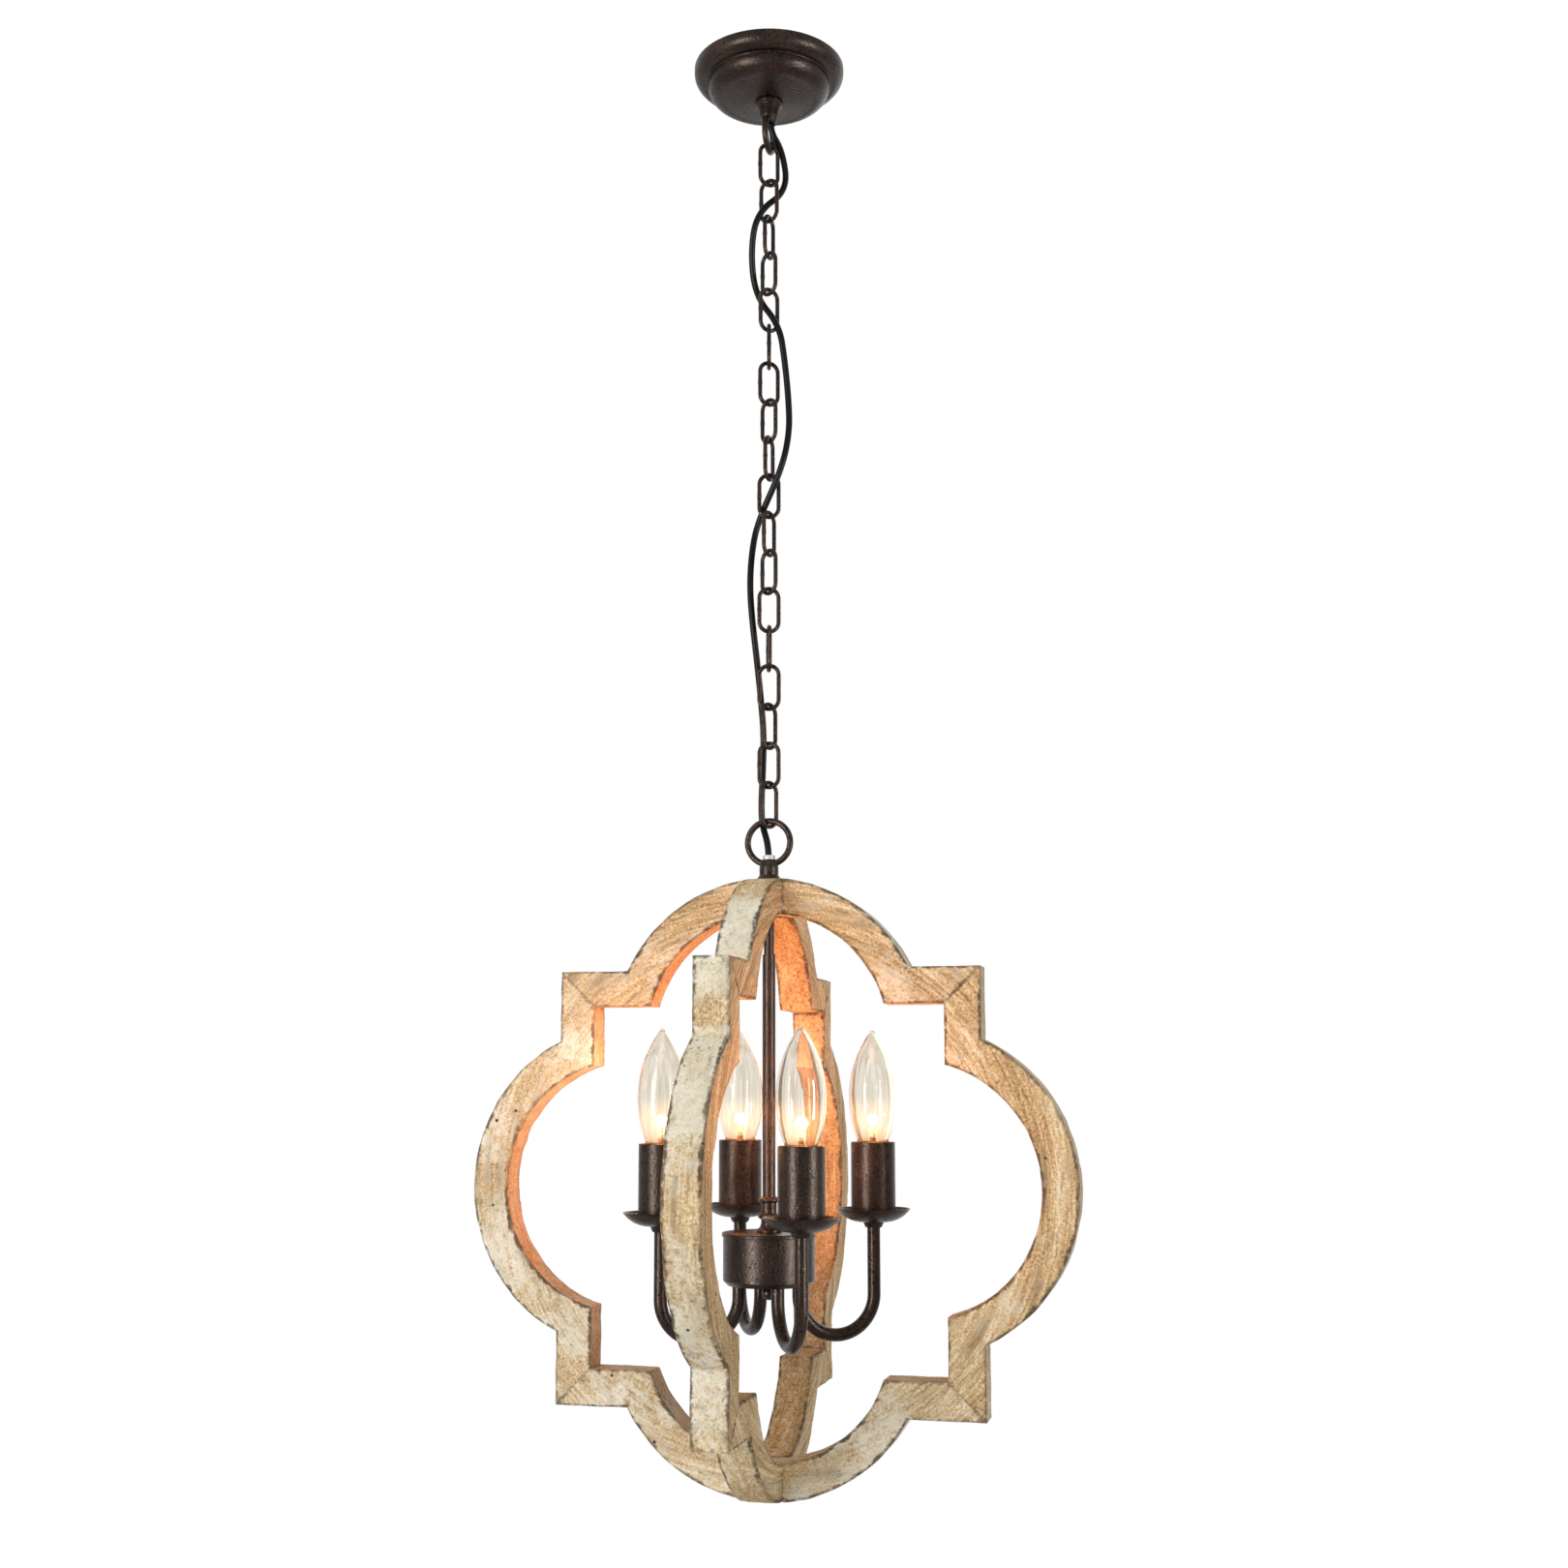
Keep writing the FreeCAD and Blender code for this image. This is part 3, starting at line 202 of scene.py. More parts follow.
# Rubber sheath, extruded: almost black, dull, with a soft sheen along its length.
rubber, tree, output = new_material("Extruded rubber")
place = add_node(tree, "ShaderNodeTexCoord").outputs["Object"]
dust = add_node(tree, "ShaderNodeTexNoise", {}, {"Vector": place, "Scale": 260.0, "Detail": 3.0})
shade = colour_ramp(tree, dust.outputs["Fac"], [(0.35, "#040404"), (0.7, "#0C0B0B")])
grit = add_node(tree, "ShaderNodeBump", {}, {"Strength": 0.2, "Distance": 0.1 * MM,
                                             "Height": dust.outputs["Fac"]})
shader = add_node(tree, "ShaderNodeBsdfPrincipled", {}, {
    "Base Color": shade, "Roughness": 0.42, "Specular IOR Level": 0.1,
    "Normal": grit.outputs["Normal"]})
tree.links.new(shader.outputs[0], output.inputs["Surface"])

route = bpy.data.curves.new("cable_route", "CURVE")
route.dimensions = "3D"
spline = route.splines.new("NURBS")
spline.points.add(len(CABLE_ROUTE) - 1)
spline.points.foreach_set("co", [v for x, y, z in CABLE_ROUTE for v in (x * MM, y * MM, z * MM, 1)])
spline.order_u = 3
spline.use_endpoint_u = True
spline.resolution_u = 14
route_object = bpy.data.objects.new("cable_route", route)
line_mesh = bpy.data.meshes.new_from_object(route_object)
line = np.array([vertex.co for vertex in line_mesh.vertices]) / MM
bpy.data.objects.remove(route_object)
bpy.data.meshes.remove(line_mesh)

# The cable crosses three joints, so it is three lengths end to end.
CABLE_LENGTHS = [
    ("cable_top", -20.0, -82.0, "ceiling_mount", "top_link", -48.0, -80.0),
    ("cable_middle", -82.0, -150.0, "top_link", "chain", -84.0, -112.0),
    ("cable_bottom", -150.0, -660.0, "chain", "fixture", -596.0, -636.0),
]
for name, high, low, upper_body, lower_body, bend_start, bend_end in CABLE_LENGTHS:
    first = max(int(np.argmax(line[:, 2] <= high)) - 1, 0)
    last = len(line) if line[-1, 2] > low else int(np.argmax(line[:, 2] <= low))
    stretch = line[first:last]
    cable = piece(name, [tube(stretch, CABLE_DIAMETER / 2, sides=20)], rubber)
    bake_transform(cable)
    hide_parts("supply_cable")

# Room: a plain pale floor far below, a white surround and soft studio lamps. The surround shows
# white to the eye, in gloss and through glass, and lights the object with the share AMBIENT.
FLOOR_LEVEL, FLOOR_SIZE, AMBIENT = -2300.0, 9000.0, 0.46


def seen_plainly(tree):
    """1 for rays of the eye, of gloss and through glass, and 0 for those that only carry light."""
    ray = add_node(tree, "ShaderNodeLightPath")
    return combine(tree, "MAXIMUM", ray.outputs["Is Camera Ray"],
                   combine(tree, "MAXIMUM", ray.outputs["Is Glossy Ray"],
                           ray.outputs["Is Transmission Ray"]))


floor_points = np.array([(-1, -1, 0), (1, -1, 0), (1, 1, 0), (-1, 1, 0)]) * FLOOR_SIZE / 2
floor_points[:, 2] = FLOOR_LEVEL
paint, tree, output = new_material("White floor paint")
shader = add_node(tree, "ShaderNodeBsdfPrincipled", {}, {
    "Base Color": hex_colour("#E9E9E7"), "Roughness": 0.7})
glow = add_node(tree, "ShaderNodeEmission", {}, {"Color": (1, 1, 1, 1), "Strength": 1.0})
mixed = add_node(tree, "ShaderNodeMixShader", {}, {
    0: seen_plainly(tree), 1: shader.outputs[0], 2: glow.outputs[0]})
tree.links.new(mixed.outputs[0], output.inputs["Surface"])
floor_mesh = bpy.data.meshes.new("floor")
floor_mesh.from_pydata((floor_points * MM).tolist(), [], [[0, 1, 2, 3]])
floor_mesh.materials.append(paint)
floor = bpy.data.objects.new("floor", floor_mesh)
bpy.context.scene.collection.objects.link(floor)

world = bpy.data.worlds.new("Studio")
bpy.context.scene.world = world
world.use_nodes = True
tree = world.node_tree
tree.nodes.clear()
strength = add_node(tree, "ShaderNodeMapRange", {}, {0: seen_plainly(tree), 3: AMBIENT, 4: 1.0})
sky = add_node(tree, "ShaderNodeBackground", {}, {"Color": (1, 1, 1, 1),
                                                  "Strength": strength.outputs[0]})
tree.links.new(sky.outputs[0], add_node(tree, "ShaderNodeOutputWorld").inputs["Surface"])

# Lamps as (name, place, width and height in metres, watts), each turned to the middle of the orb.
# The two tall strips show only as reflections in the coated steel and the glass, and the key and
# fill lamps only light the object and are left out of its reflections.
for name, place, width, tall, watts in (
        ("key_lamp", (-1.2, -2.6, 0.2), 1.1, 2.2, 46.0),
        ("fill_lamp", (2.4, -1.4, -0.6), 1.8, 1.8, 2.0),
        ("left_strip", (-1.3, -2.5, -0.9), 0.22, 1.6, 150.0),
        ("right_strip", (2.7, -0.8, -0.9), 0.22, 1.6, 130.0),
        ("back_lamp", (0.6, 2.6, -0.2), 1.8, 1.8, 9.0)):
    lamp = bpy.data.lights.new(name, "AREA")
    lamp.shape = "RECTANGLE"
    lamp.size, lamp.size_y, lamp.energy = width, tall, watts
    made = bpy.data.objects.new(name, lamp)
    made.location = place
    made.visible_diffuse = not name.endswith("strip")
    made.visible_glossy = name not in ("key_lamp", "fill_lamp")
    aim = np.array((0, 0, ORB_LEVEL * MM)) - np.array(place)
    made.rotation_euler = (math.acos(-aim[2] / np.linalg.norm(aim)), 0,
                           math.atan2(-aim[0], aim[1]))
    bpy.context.scene.collection.objects.link(made)

# Crossbar, threaded tube and nuts: bright zinc on pressed and turned steel, hidden by the canopy.
# The crossbar screws to the ceiling box and carries everything through the threaded tube.


def finish_nodes(material, *names):
    """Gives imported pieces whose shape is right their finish."""
    for name in names:
        for material_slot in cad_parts[name].material_slots:
            material_slot.material = material


def two_tone_finish(name, cloud_scale, cloud_detail, dark, light, sockets):
    """A finish that wanders between two close tones in soft clouds, with the shader's other
    sockets set as given."""
    material, tree, output = new_material(name)
    place = add_node(tree, "ShaderNodeTexCoord").outputs["Object"]
    cloud = add_node(tree, "ShaderNodeTexNoise", {}, {
        "Vector": place, "Scale": cloud_scale, "Detail": cloud_detail})
    tone = colour_ramp(tree, cloud.outputs["Fac"], [(0.3, dark), (0.7, light)])
    shader = add_node(tree, "ShaderNodeBsdfPrincipled", {}, {"Base Color": tone, **sockets})
    tree.links.new(shader.outputs[0], output.inputs["Surface"])
    return material


# Zinc plating: a cool grey metal, half bright, with a faint spangle about 2 mm across.
zinc = two_tone_finish("Zinc plated steel", 420.0, 2.0, "#A9ADB2", "#C9CCD0",
                       {"Metallic": 1.0, "Roughness": 0.34})
finish_nodes(zinc, "ceiling_crossbar", "ceiling_nipple", "nipple_nuts", "arm_nuts")

# Earth screw: steel with the green lacquer that marks it.
lacquer = two_tone_finish("Green lacquered steel", 900.0, 2.0, "#1E6B33", "#2E8A46",
                          {"Roughness": 0.3})
finish_nodes(lacquer, "earth_screw")

# Wire connectors: orange polypropylene, moulded, standing in the canopy.
polypropylene = two_tone_finish("Moulded polypropylene", 300.0, 3.0, "#C9641E", "#DB7A2C",
                                {"Roughness": 0.42})
finish_nodes(polypropylene, "wire_connectors")

# Canopy: a dish 120 mm wide spun from sheet steel 1.2 mm thick, with two rounded steps under its
# rim and a low cone down to the middle, powder coated dark bronze. The collar nut holds it up.
powder, tree, output = new_material("Dark bronze powder coat")
# Powder coat on steel: nearly black brown, satin, with the pebbled skin of hammered paint, its
# pebbles about 1 mm across, and sparse black specks about 2 mm across.
place = add_node(tree, "ShaderNodeTexCoord").outputs["Object"]
pebble = add_node(tree, "ShaderNodeTexNoise", {}, {"Vector": place, "Scale": 850.0, "Detail": 2.0,
                                                   "Roughness": 0.6}).outputs["Fac"]
cloud = add_node(tree, "ShaderNodeTexNoise", {}, {"Vector": place, "Scale": 45.0,
                                                  "Detail": 3.0}).outputs["Fac"]
fleck = add_node(tree, "ShaderNodeTexVoronoi", {}, {"Vector": place, "Scale": 330.0})
fleck_dark = value_ramp(tree, fleck.outputs["Distance"], 0.25, 0.45, 1.0, 0.0)
few = value_ramp(tree, add_node(tree, "ShaderNodeSeparateColor", {}, {
    0: fleck.outputs["Color"]}).outputs[0], 0.5, 0.55)
fleck_amount = combine(tree, "MULTIPLY", fleck_dark, few)
ground = colour_ramp(tree, combine(tree, "ADD", combine(tree, "MULTIPLY", pebble, 0.7),
                                   combine(tree, "MULTIPLY", cloud, 0.3)),
                     [(0.4, "#0D0908"), (0.5, "#1F1713"), (0.6, "#45352C")])
shade = blend_colour(tree, fleck_amount, ground, hex_colour("#030202"))
rise = combine(tree, "SUBTRACT", pebble, combine(tree, "MULTIPLY", fleck_amount, 0.5))
bump = add_node(tree, "ShaderNodeBump", {}, {
    "Strength": 0.75, "Distance": 0.28 * MM, "Height": rise})
shader = add_node(tree, "ShaderNodeBsdfPrincipled", {}, {
    "Base Color": shade, "Specular IOR Level": 0.19, "Specular Tint": hex_colour("#F6DCCB"),
    "Roughness": value_ramp(tree, pebble, 0.35, 0.65, 0.42, 0.2), "Normal": bump.outputs["Normal"]})
tree.links.new(shader.outputs[0], output.inputs["Surface"])


def rounded(corners, closed=True):
    """Points along an outline of (radius, height, fillet) corners. A fillet is the arc that
    touches both sides of its corner."""
    points = []
    for number, (across, up, fillet) in enumerate(corners):
        here = np.array((across, up), float)
        if not fillet or (not closed and number in (0, len(corners) - 1)):
            points.append(here)
            continue
        back = np.array(corners[number - 1][:2]) - here
        ahead = np.array(corners[(number + 1) % len(corners)][:2]) - here
        back, ahead = back / np.linalg.norm(back), ahead / np.linalg.norm(ahead)
        half = math.acos(np.clip(back @ ahead, -1, 1)) / 2
        middle = here + (back + ahead) / np.linalg.norm(back + ahead) * fillet / math.sin(half)
        first = here + back * fillet / math.tan(half) - middle
        last = here + ahead * fillet / math.tan(half) - middle
        begin = math.atan2(first[1], first[0])
        sweep = (math.atan2(last[1], last[0]) - begin + math.pi) % (2 * math.pi) - math.pi
        steps = max(3, math.ceil(abs(sweep) / math.radians(9)))
        turns = begin + sweep * np.linspace(0, 1, steps + 1)
        points.extend(middle + fillet * np.stack((np.cos(turns), np.sin(turns)), axis=1))
    return np.array(points)


def turned(outline, at=(0, 0, 0), closed=True, sides=72):
    """Surface of revolution: an outline of (radius, height) points turned about the vertical
    through a point. An open outline starts and ends on the axis."""
    outline = np.asarray(outline, float)
    angle = np.linspace(0, 2 * math.pi, sides, endpoint=False)
    radius, height = outline[:, :1], outline[:, 1:2]
    points = np.stack((radius * np.cos(angle), radius * np.sin(angle),
                       np.broadcast_to(height, (len(outline), sides))), axis=-1)
    return (points + np.array(at)).reshape(-1, 3), grid_faces(len(outline), sides, closed, True)


CANOPY = [
    (58.8, 0, 0.3), (60.0, 0, 0.5), (60.0, -12.0, 8.0), (49.0, -12.0, 0.9), (49.0, -25.0, 11.0),
    (36.0, -25.24, 6.0), (13.0, -28.0, 8.0), (4.9, -28.0, 0.2), (4.9, -26.8, 0.2),
    (13.0, -26.8, 8.0), (36.0, -24.04, 6.0), (47.8, -23.8, 9.8), (47.8, -10.8, 0.6),
    (58.8, -10.8, 6.8)]
canopy = piece("canopy_dish", [turned(rounded(CANOPY), sides=128)], powder)
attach(canopy, "ceiling_mount")
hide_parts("canopy")

# Collar nut: turned steel with a rim above and a grooved waist, screwed up by hand.
COLLAR = [
    (4.9, -28.0, 0.2), (11.0, -28.0, 0.5), (11.0, -30.4, 0.7), (9.3, -31.3, 0.4), (9.3, -32.4, 0.4),
    (8.5, -32.8, 0.2), (8.5, -35.0, 0.8), (4.9, -35.0, 0.2)]
collar = piece("collar_nut_turned", [turned(rounded(COLLAR), sides=64)], powder)
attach(collar, "ceiling_mount")
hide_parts("collar_nut")

# Loop under the canopy: a forged ring on a boss that screws onto the threaded tube. The packed
# form is right and takes the powder coat.
finish_nodes(powder, "canopy_loop")

# Chain: 18 oval links of steel wire 3.3 mm thick, each bent, hooked into the last and welded shut
# on one side, then powder coated. The weld leaves a small swelling.
LINK_WIRE, LINK_HALF_WIDTH, LINK_REACH = 1.65, 7.5, 34.1
TOP_LINK_LEVEL, LINK_PITCH, WELD_HALF, WELD_RISE = -81.1, 30.5, 1.6, 0.28
LINK_TURNS = [36, -20, 78, -33, 42, 104, 36, -33, 81, 14, 72, -33, 22, -71, 10, 63, 2, 56]


def chain_link(number):
    """Wire of one link: a circle carried round two half circles and the straights between them,
    with a smooth swelling at the weld. The link is turned about the vertical."""
    straight = LINK_REACH / 2 - LINK_HALF_WIDTH
    bend = np.linspace(0, math.pi, 17)
    bends = np.stack((LINK_HALF_WIDTH * np.cos(bend), LINK_HALF_WIDTH * np.sin(bend) + straight), 1)
    side = np.linspace(straight, -straight, 11)[1:-1]
    left = np.stack((np.full_like(side, -LINK_HALF_WIDTH), side), 1)
    loop = np.concatenate((bends, left, -bends, -left))
    weld = np.exp(-((loop[:, 1] / WELD_HALF) ** 2)) * (loop[:, 0] < 0)
    turn = math.radians(LINK_TURNS[number])
    level = TOP_LINK_LEVEL - LINK_PITCH * number
    path = np.stack((loop[:, 0] * math.cos(turn), loop[:, 0] * math.sin(turn),
                     loop[:, 1] + level), 1)
    return tube(path, LINK_WIRE + WELD_RISE * weld, closed=True, sides=14)


for name, node, body, numbers in (
        ("top_link_wire", "top_chain_link", "top_link", range(1)),
        ("upper_links_wire", "chain_links_upper", "chain", range(1, 9)),
        ("lower_links_wire", "chain_links_lower", "chain", range(9, 18))):
    links = piece(name, [chain_link(number) for number in numbers], powder)
    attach(links, body)
    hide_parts(node)

# Loop on the frame: a forged ring on a flared neck that clamps the wood. The bushing in it is
# moulded from white nylon, and its flange keeps the cable off the metal.
finish_nodes(powder, "fixture_loop")
nylon = two_tone_finish("Moulded nylon", 350.0, 3.0, "#DCDCD6", "#EFEFEA", {
    "Roughness": 0.4, "Subsurface Weight": 0.1, "Subsurface Radius": (0.002, 0.002, 0.002)})
BUSHING = [(2.8, -647.8, 0.3), (3.9, -647.8, 0.4), (3.9, -642.3, 0.1), (4.8, -642.3, 0.4),
           (4.8, -638.7, 0.9), (2.8, -638.7, 0.5)]
bushing = piece("bushing_moulded", [turned(rounded(BUSHING), sides=48)], nylon)
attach(bushing, "fixture")
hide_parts("cable_bushing")

# Wooden frames: two quatrefoils, each of four curved pieces sawn from pale softwood 27 mm thick,
# mitred and dowelled in the corners and lapped over each other at top and bottom. The edges are
# rounded over by hand, and the wood is stained, whitewashed, rubbed back and speckled. The photo
# shows the lower lobes shallower than the others, so here they are set in by LOWER_RISE.
WOOD_REACH, LOBE_RADIUS, CORNER_REACH, WOOD_WIDTH, WOOD_HALF = 230.0, 120.0, 161.5, 27.3, 13.5
LAP_HALF, LAP_REACH, SEAM_GROOVE = 13.6, 216.35, 0.2
LOBE_CENTRE, LOWER_RISE = WOOD_REACH - LOBE_RADIUS, 6.5
# Wear by hand: the least and most rounding, waves as (length, height) of the rounding and of the
# faces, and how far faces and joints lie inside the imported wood.
EDGE_ROUND, EDGE_ROUND_MOST, ROUNDING_WAVE = 1.1, 2.4, (34.0, 0.9)
SAWN_WAVE, SANDED_WAVE, FACE_DROP, JOINT_DROP, LAP_MARGIN = (26.0, 0.22), (9.0, 0.1), 0.3, 0.12, 3
# The grain is laid out along a circle of this radius, and each piece starts elsewhere in it.
GRAIN_RADIUS, GRAIN_SPREAD = 190.0, 900


def ripple(points, seed, length, height):
    """Smooth unevenness: a sum of eight sine waves in seeded directions, of about one length."""
    waves = np.random.default_rng(seed)
    total = np.zeros(len(points))
    for _ in range(8):
        way = waves.normal(size=3)
        way *= 2 * math.pi / (length * waves.uniform(0.6, 1.7)) / np.linalg.norm(way)
        total += np.sin(points @ way + waves.uniform(0, 2 * math.pi))
    return total * height / 3


def lobe_rails(lap, set_in):
    """The outer and inner edge of a lobe, point by point, as (outwards, along). Each runs from one
    mitre straight to the arc, round it and straight to the other mitre. A lap at the top of the
    lobe drops the outer edge (1) or the inner one (-1) to the middle of the wood. The arc, not the
    corners, can be set in towards the frame's middle."""
    inner_corner, inner_radius = CORNER_REACH - WOOD_WIDTH, LOBE_RADIUS - WOOD_WIDTH
    centre = LOBE_CENTRE - set_in
    outer_swing = math.acos((CORNER_REACH - centre) / LOBE_RADIUS)
    inner_swing = math.acos((inner_corner - centre) / inner_radius)
    share = np.linspace(-1, 1, 89)
    if lap:
        edge = (math.asin(LAP_HALF / LOBE_RADIUS) / outer_swing if lap > 0
                else math.asin(LAP_HALF / inner_radius) / inner_swing)
        share = np.sort(np.concatenate((share[np.abs(np.abs(share) - edge) > 0.01],
                                        [-edge - 1e-4, -edge, edge, edge + 1e-4])))
    outer = LOBE_RADIUS * np.stack((np.cos(share * outer_swing), np.sin(share * outer_swing)), 1)
    inner = inner_radius * np.stack((np.cos(share * inner_swing), np.sin(share * inner_swing)), 1)
    outer[:, 0] += centre
    inner[:, 0] += centre
    if lap:
        lapped = outer if lap > 0 else inner
        lapped[np.abs(share) <= edge + 1e-6, 0] = LAP_REACH - set_in
    run = np.concatenate(([0.0, 0.012], np.linspace(0.06, 0.99, 13)))
    ends = []
    for corner, arc_start in ((CORNER_REACH, outer[0]), (inner_corner, inner[0])):
        start = np.array((corner, -corner))
        ends.append(start + run[:, None] * (arc_start - start))
    outer = np.concatenate((ends[0], outer, ends[0][::-1] * (1, -1)))
    inner = np.concatenate((ends[1], inner, ends[1][::-1] * (1, -1)))
    return outer, inner


def wood_section():
    """Stations round the section of the wood: shares inwards to outwards and front to back of a
    rectangle inset by the rounding, and the direction in which the rounding pushes them out."""
    flat = np.linspace(0, 1, 9)
    turn = np.linspace(0, math.pi / 2, 5)[1:-1]
    stations = []
    for quarter, (first, last) in enumerate((((1, 0), (1, 1)), ((1, 1), (0, 1)),
                                             ((0, 1), (0, 0)), ((0, 0), (1, 0)))):
        line_points = np.array(first) + flat[:, None] * (np.array(last) - np.array(first))
        facing = np.full(len(flat), quarter * math.pi / 2)
        stations.append(np.column_stack((line_points, facing)))
        stations.append(np.column_stack((np.tile(last, (len(turn), 1)),
                                         quarter * math.pi / 2 + turn)))
    return np.concatenate(stations)


def lobe(name, plane, quarter, lap, face_wash, edge_wash, seed):
    """One curved piece: the rounded section carried along both rails, the mitred ends drawn in a
    little so that the seam shows. Attributes give the way to the nearest edge, the place along the
    grain, which runs round the frame's middle, how far a face looks outwards, and the wash, which
    goes from that of the faces to that of the outer edge as a face looks outwards."""
    outer, inner = lobe_rails(lap, LOWER_RISE if quarter == 3 else 0.0)
    across, depth, facing = wood_section().T
    span = outer - inner
    width = np.linalg.norm(span, axis=1)
    way = span / width[:, None]
    stations = len(outer)
    draw_in = np.zeros(stations)
    draw_in[[0, -1]] = SEAM_GROOVE
    along = np.column_stack((outer, np.zeros(stations)))
    rounding = EDGE_ROUND + np.abs(ripple(along, seed, *ROUNDING_WAVE))
    rounding = np.minimum(rounding, EDGE_ROUND_MOST)[:, None]
    reach = (rounding + draw_in[:, None] + across * (width - 2 * draw_in)[:, None]
             - 2 * rounding * across + rounding * np.cos(facing))
    level = ((2 * depth - 1) * (WOOD_HALF - rounding - draw_in[:, None])
             + rounding * np.sin(facing))
    flat = inner[:, None] + way[:, None] * reach[..., None]
    local = np.concatenate((flat, level[..., None]), axis=2).reshape(-1, 3)
    worn = ripple(local, seed + 1, *SAWN_WAVE) + ripple(local, seed + 2, *SANDED_WAVE)
    push = np.cos(facing)[None, :, None] * way[:, None]
    push = np.concatenate((push, np.broadcast_to(np.sin(facing)[:, None],
                                                 (stations, len(facing), 1))), axis=2)
    still = (np.isin(np.arange(stations), (0, stations - 1))
             | (np.abs(outer[:, 1]) < LAP_HALF + LAP_MARGIN))
    worn = np.where(np.repeat(still, len(facing)), -JOINT_DROP, worn - FACE_DROP)
    local += push.reshape(-1, 3) * worn[:, None]
    sideways = np.minimum(across, 1 - across) * width[:, None]
    frontways = np.minimum(depth, 1 - depth) * 2 * WOOD_HALF
    on_side = np.abs(np.sin(facing)) > 0.99
    on_front = np.abs(np.cos(facing)) > 0.99
    edge = np.where(on_side, sideways, np.where(on_front, frontways, 0.0)).ravel()
    seam = (local[:, 0] - np.abs(local[:, 1])) / math.sqrt(2)
    if lap:
        seam = np.minimum(seam, np.abs(np.abs(local[:, 1]) - LAP_HALF) + 0.3)
    edge = np.minimum(edge, np.abs(seam))
    angle = np.arctan2(local[:, 1], local[:, 0])
    grain = np.column_stack((angle * GRAIN_RADIUS, np.hypot(local[:, 0], local[:, 1]), local[:, 2]))
    grain += np.random.default_rng(seed).uniform(0, GRAIN_SPREAD, 3)
    outwards = np.tile(np.cos(facing), stations)
    on_edge = np.interp(local[:, 1], *np.array(edge_wash, float).T)
    wash_left = face_wash + (on_edge - face_wash) * np.clip(outwards, 0, 1)
    for _ in range(quarter):
        local = np.column_stack((-local[:, 1], local[:, 0], local[:, 2]))
    if plane == "XZ":
        points = np.column_stack((local[:, 0], local[:, 2], local[:, 1] + ORB_LEVEL))
    else:
        points = np.column_stack((local[:, 2], local[:, 0], local[:, 1] + ORB_LEVEL))
    faces = grid_faces(stations, len(facing), False, True)
    last = (stations - 1) * len(facing)
    faces.append(list(range(len(facing))))
    faces.append(list(range(last, last + len(facing)))[::-1])
    made = piece(name, [(points, faces)], wood, sharp=42)
    for attribute, kind, values in (
            ("edge", "FLOAT", edge * MM), ("grain", "FLOAT_VECTOR", grain * MM),
            ("outward", "FLOAT", outwards), ("wash", "FLOAT", wash_left)):
        field = made.data.attributes.new(attribute, kind, "POINT")
        field.data.foreach_set("vector" if kind == "FLOAT_VECTOR" else "value",
                               np.asarray(values, np.float32).ravel())
    return made


# Softwood under worn whitewash: tan stain along the grain, milky patches that thin out over it,
# strokes of dark glaze, more of it in seams and on edges, wormholes and flecks. The fibres are
# under 1 mm wide and are drawn at 2.5 mm so that they show. The glaze is full up to the first of
# two distances from an edge and gone at the second.
GLAZE_FULL, GLAZE_GONE = 4.6, 6.9
wood, tree, output = new_material("Whitewashed softwood")
grain = add_node(tree, "ShaderNodeAttribute", {"attribute_name": "grain"}).outputs["Vector"]
edge = add_node(tree, "ShaderNodeAttribute", {"attribute_name": "edge"}).outputs["Fac"]
outward = add_node(tree, "ShaderNodeAttribute", {"attribute_name": "outward"}).outputs["Fac"]
wash = add_node(tree, "ShaderNodeAttribute", {"attribute_name": "wash"}).outputs["Fac"]
place = add_node(tree, "ShaderNodeTexCoord").outputs["Object"]


def stretched_noise(scale, detail, roughness=0.55):
    """Noise in the grain's own directions: a scale each along, across and through the board."""
    turned_place = add_node(tree, "ShaderNodeMapping", {}, {"Vector": grain, "Scale": scale})
    return add_node(tree, "ShaderNodeTexNoise", {}, {
        "Vector": turned_place.outputs[0], "Scale": 1.0, "Detail": detail,
        "Roughness": roughness}).outputs["Fac"]


def cloud_noise(scale, detail, roughness=0.55):
    """Noise that ignores the grain."""
    return add_node(tree, "ShaderNodeTexNoise", {}, {
        "Vector": place, "Scale": scale, "Detail": detail, "Roughness": roughness}).outputs["Fac"]


def weighted(*terms):
    """Sum of (value, weight) pairs."""
    total = combine(tree, "MULTIPLY", *terms[0])
    for value, weight in terms[1:]:
        total = add_node(tree, "ShaderNodeMath", {"operation": "MULTIPLY_ADD"},
                         {0: value, 1: weight, 2: total}).outputs[0]
    return total


fibre = stretched_noise((26.0, 400.0, 400.0), 3.0, 0.6)
pore = stretched_noise((48.0, 620.0, 620.0), 2.0, 0.5)
band = stretched_noise((7.0, 70.0, 70.0), 3.0)
brush = stretched_noise((15.0, 120.0, 120.0), 5.0, 0.68)
mottle = cloud_noise(190.0, 4.0, 0.62)
crumb = cloud_noise(520.0, 2.0, 0.6)
patch = cloud_noise(26.0, 4.0, 0.6)
smudge = cloud_noise(14.0, 4.0, 0.6)
stain = colour_ramp(tree, weighted((fibre, 0.34), (band, 0.26), (crumb, 0.4)), [
    (0.4, "#8E6F43"), (0.46, "#BF9D6A"), (0.53, "#DBBB89"), (0.6, "#F1E3C0")])
stain = blend_colour(tree, value_ramp(tree, pore, 0.56, 0.66, 0.0, 0.5), stain,
                     hex_colour("#856640"))
milk = colour_ramp(tree, weighted((mottle, 0.35), (crumb, 0.35), (patch, 0.3)), [
    (0.37, "#CCBC9A"), (0.47, "#E8DCC0"), (0.58, "#FAF4E3")])
wash_level = weighted((patch, 0.4), (brush, 0.35), (mottle, 0.25), (wash, 0.34))
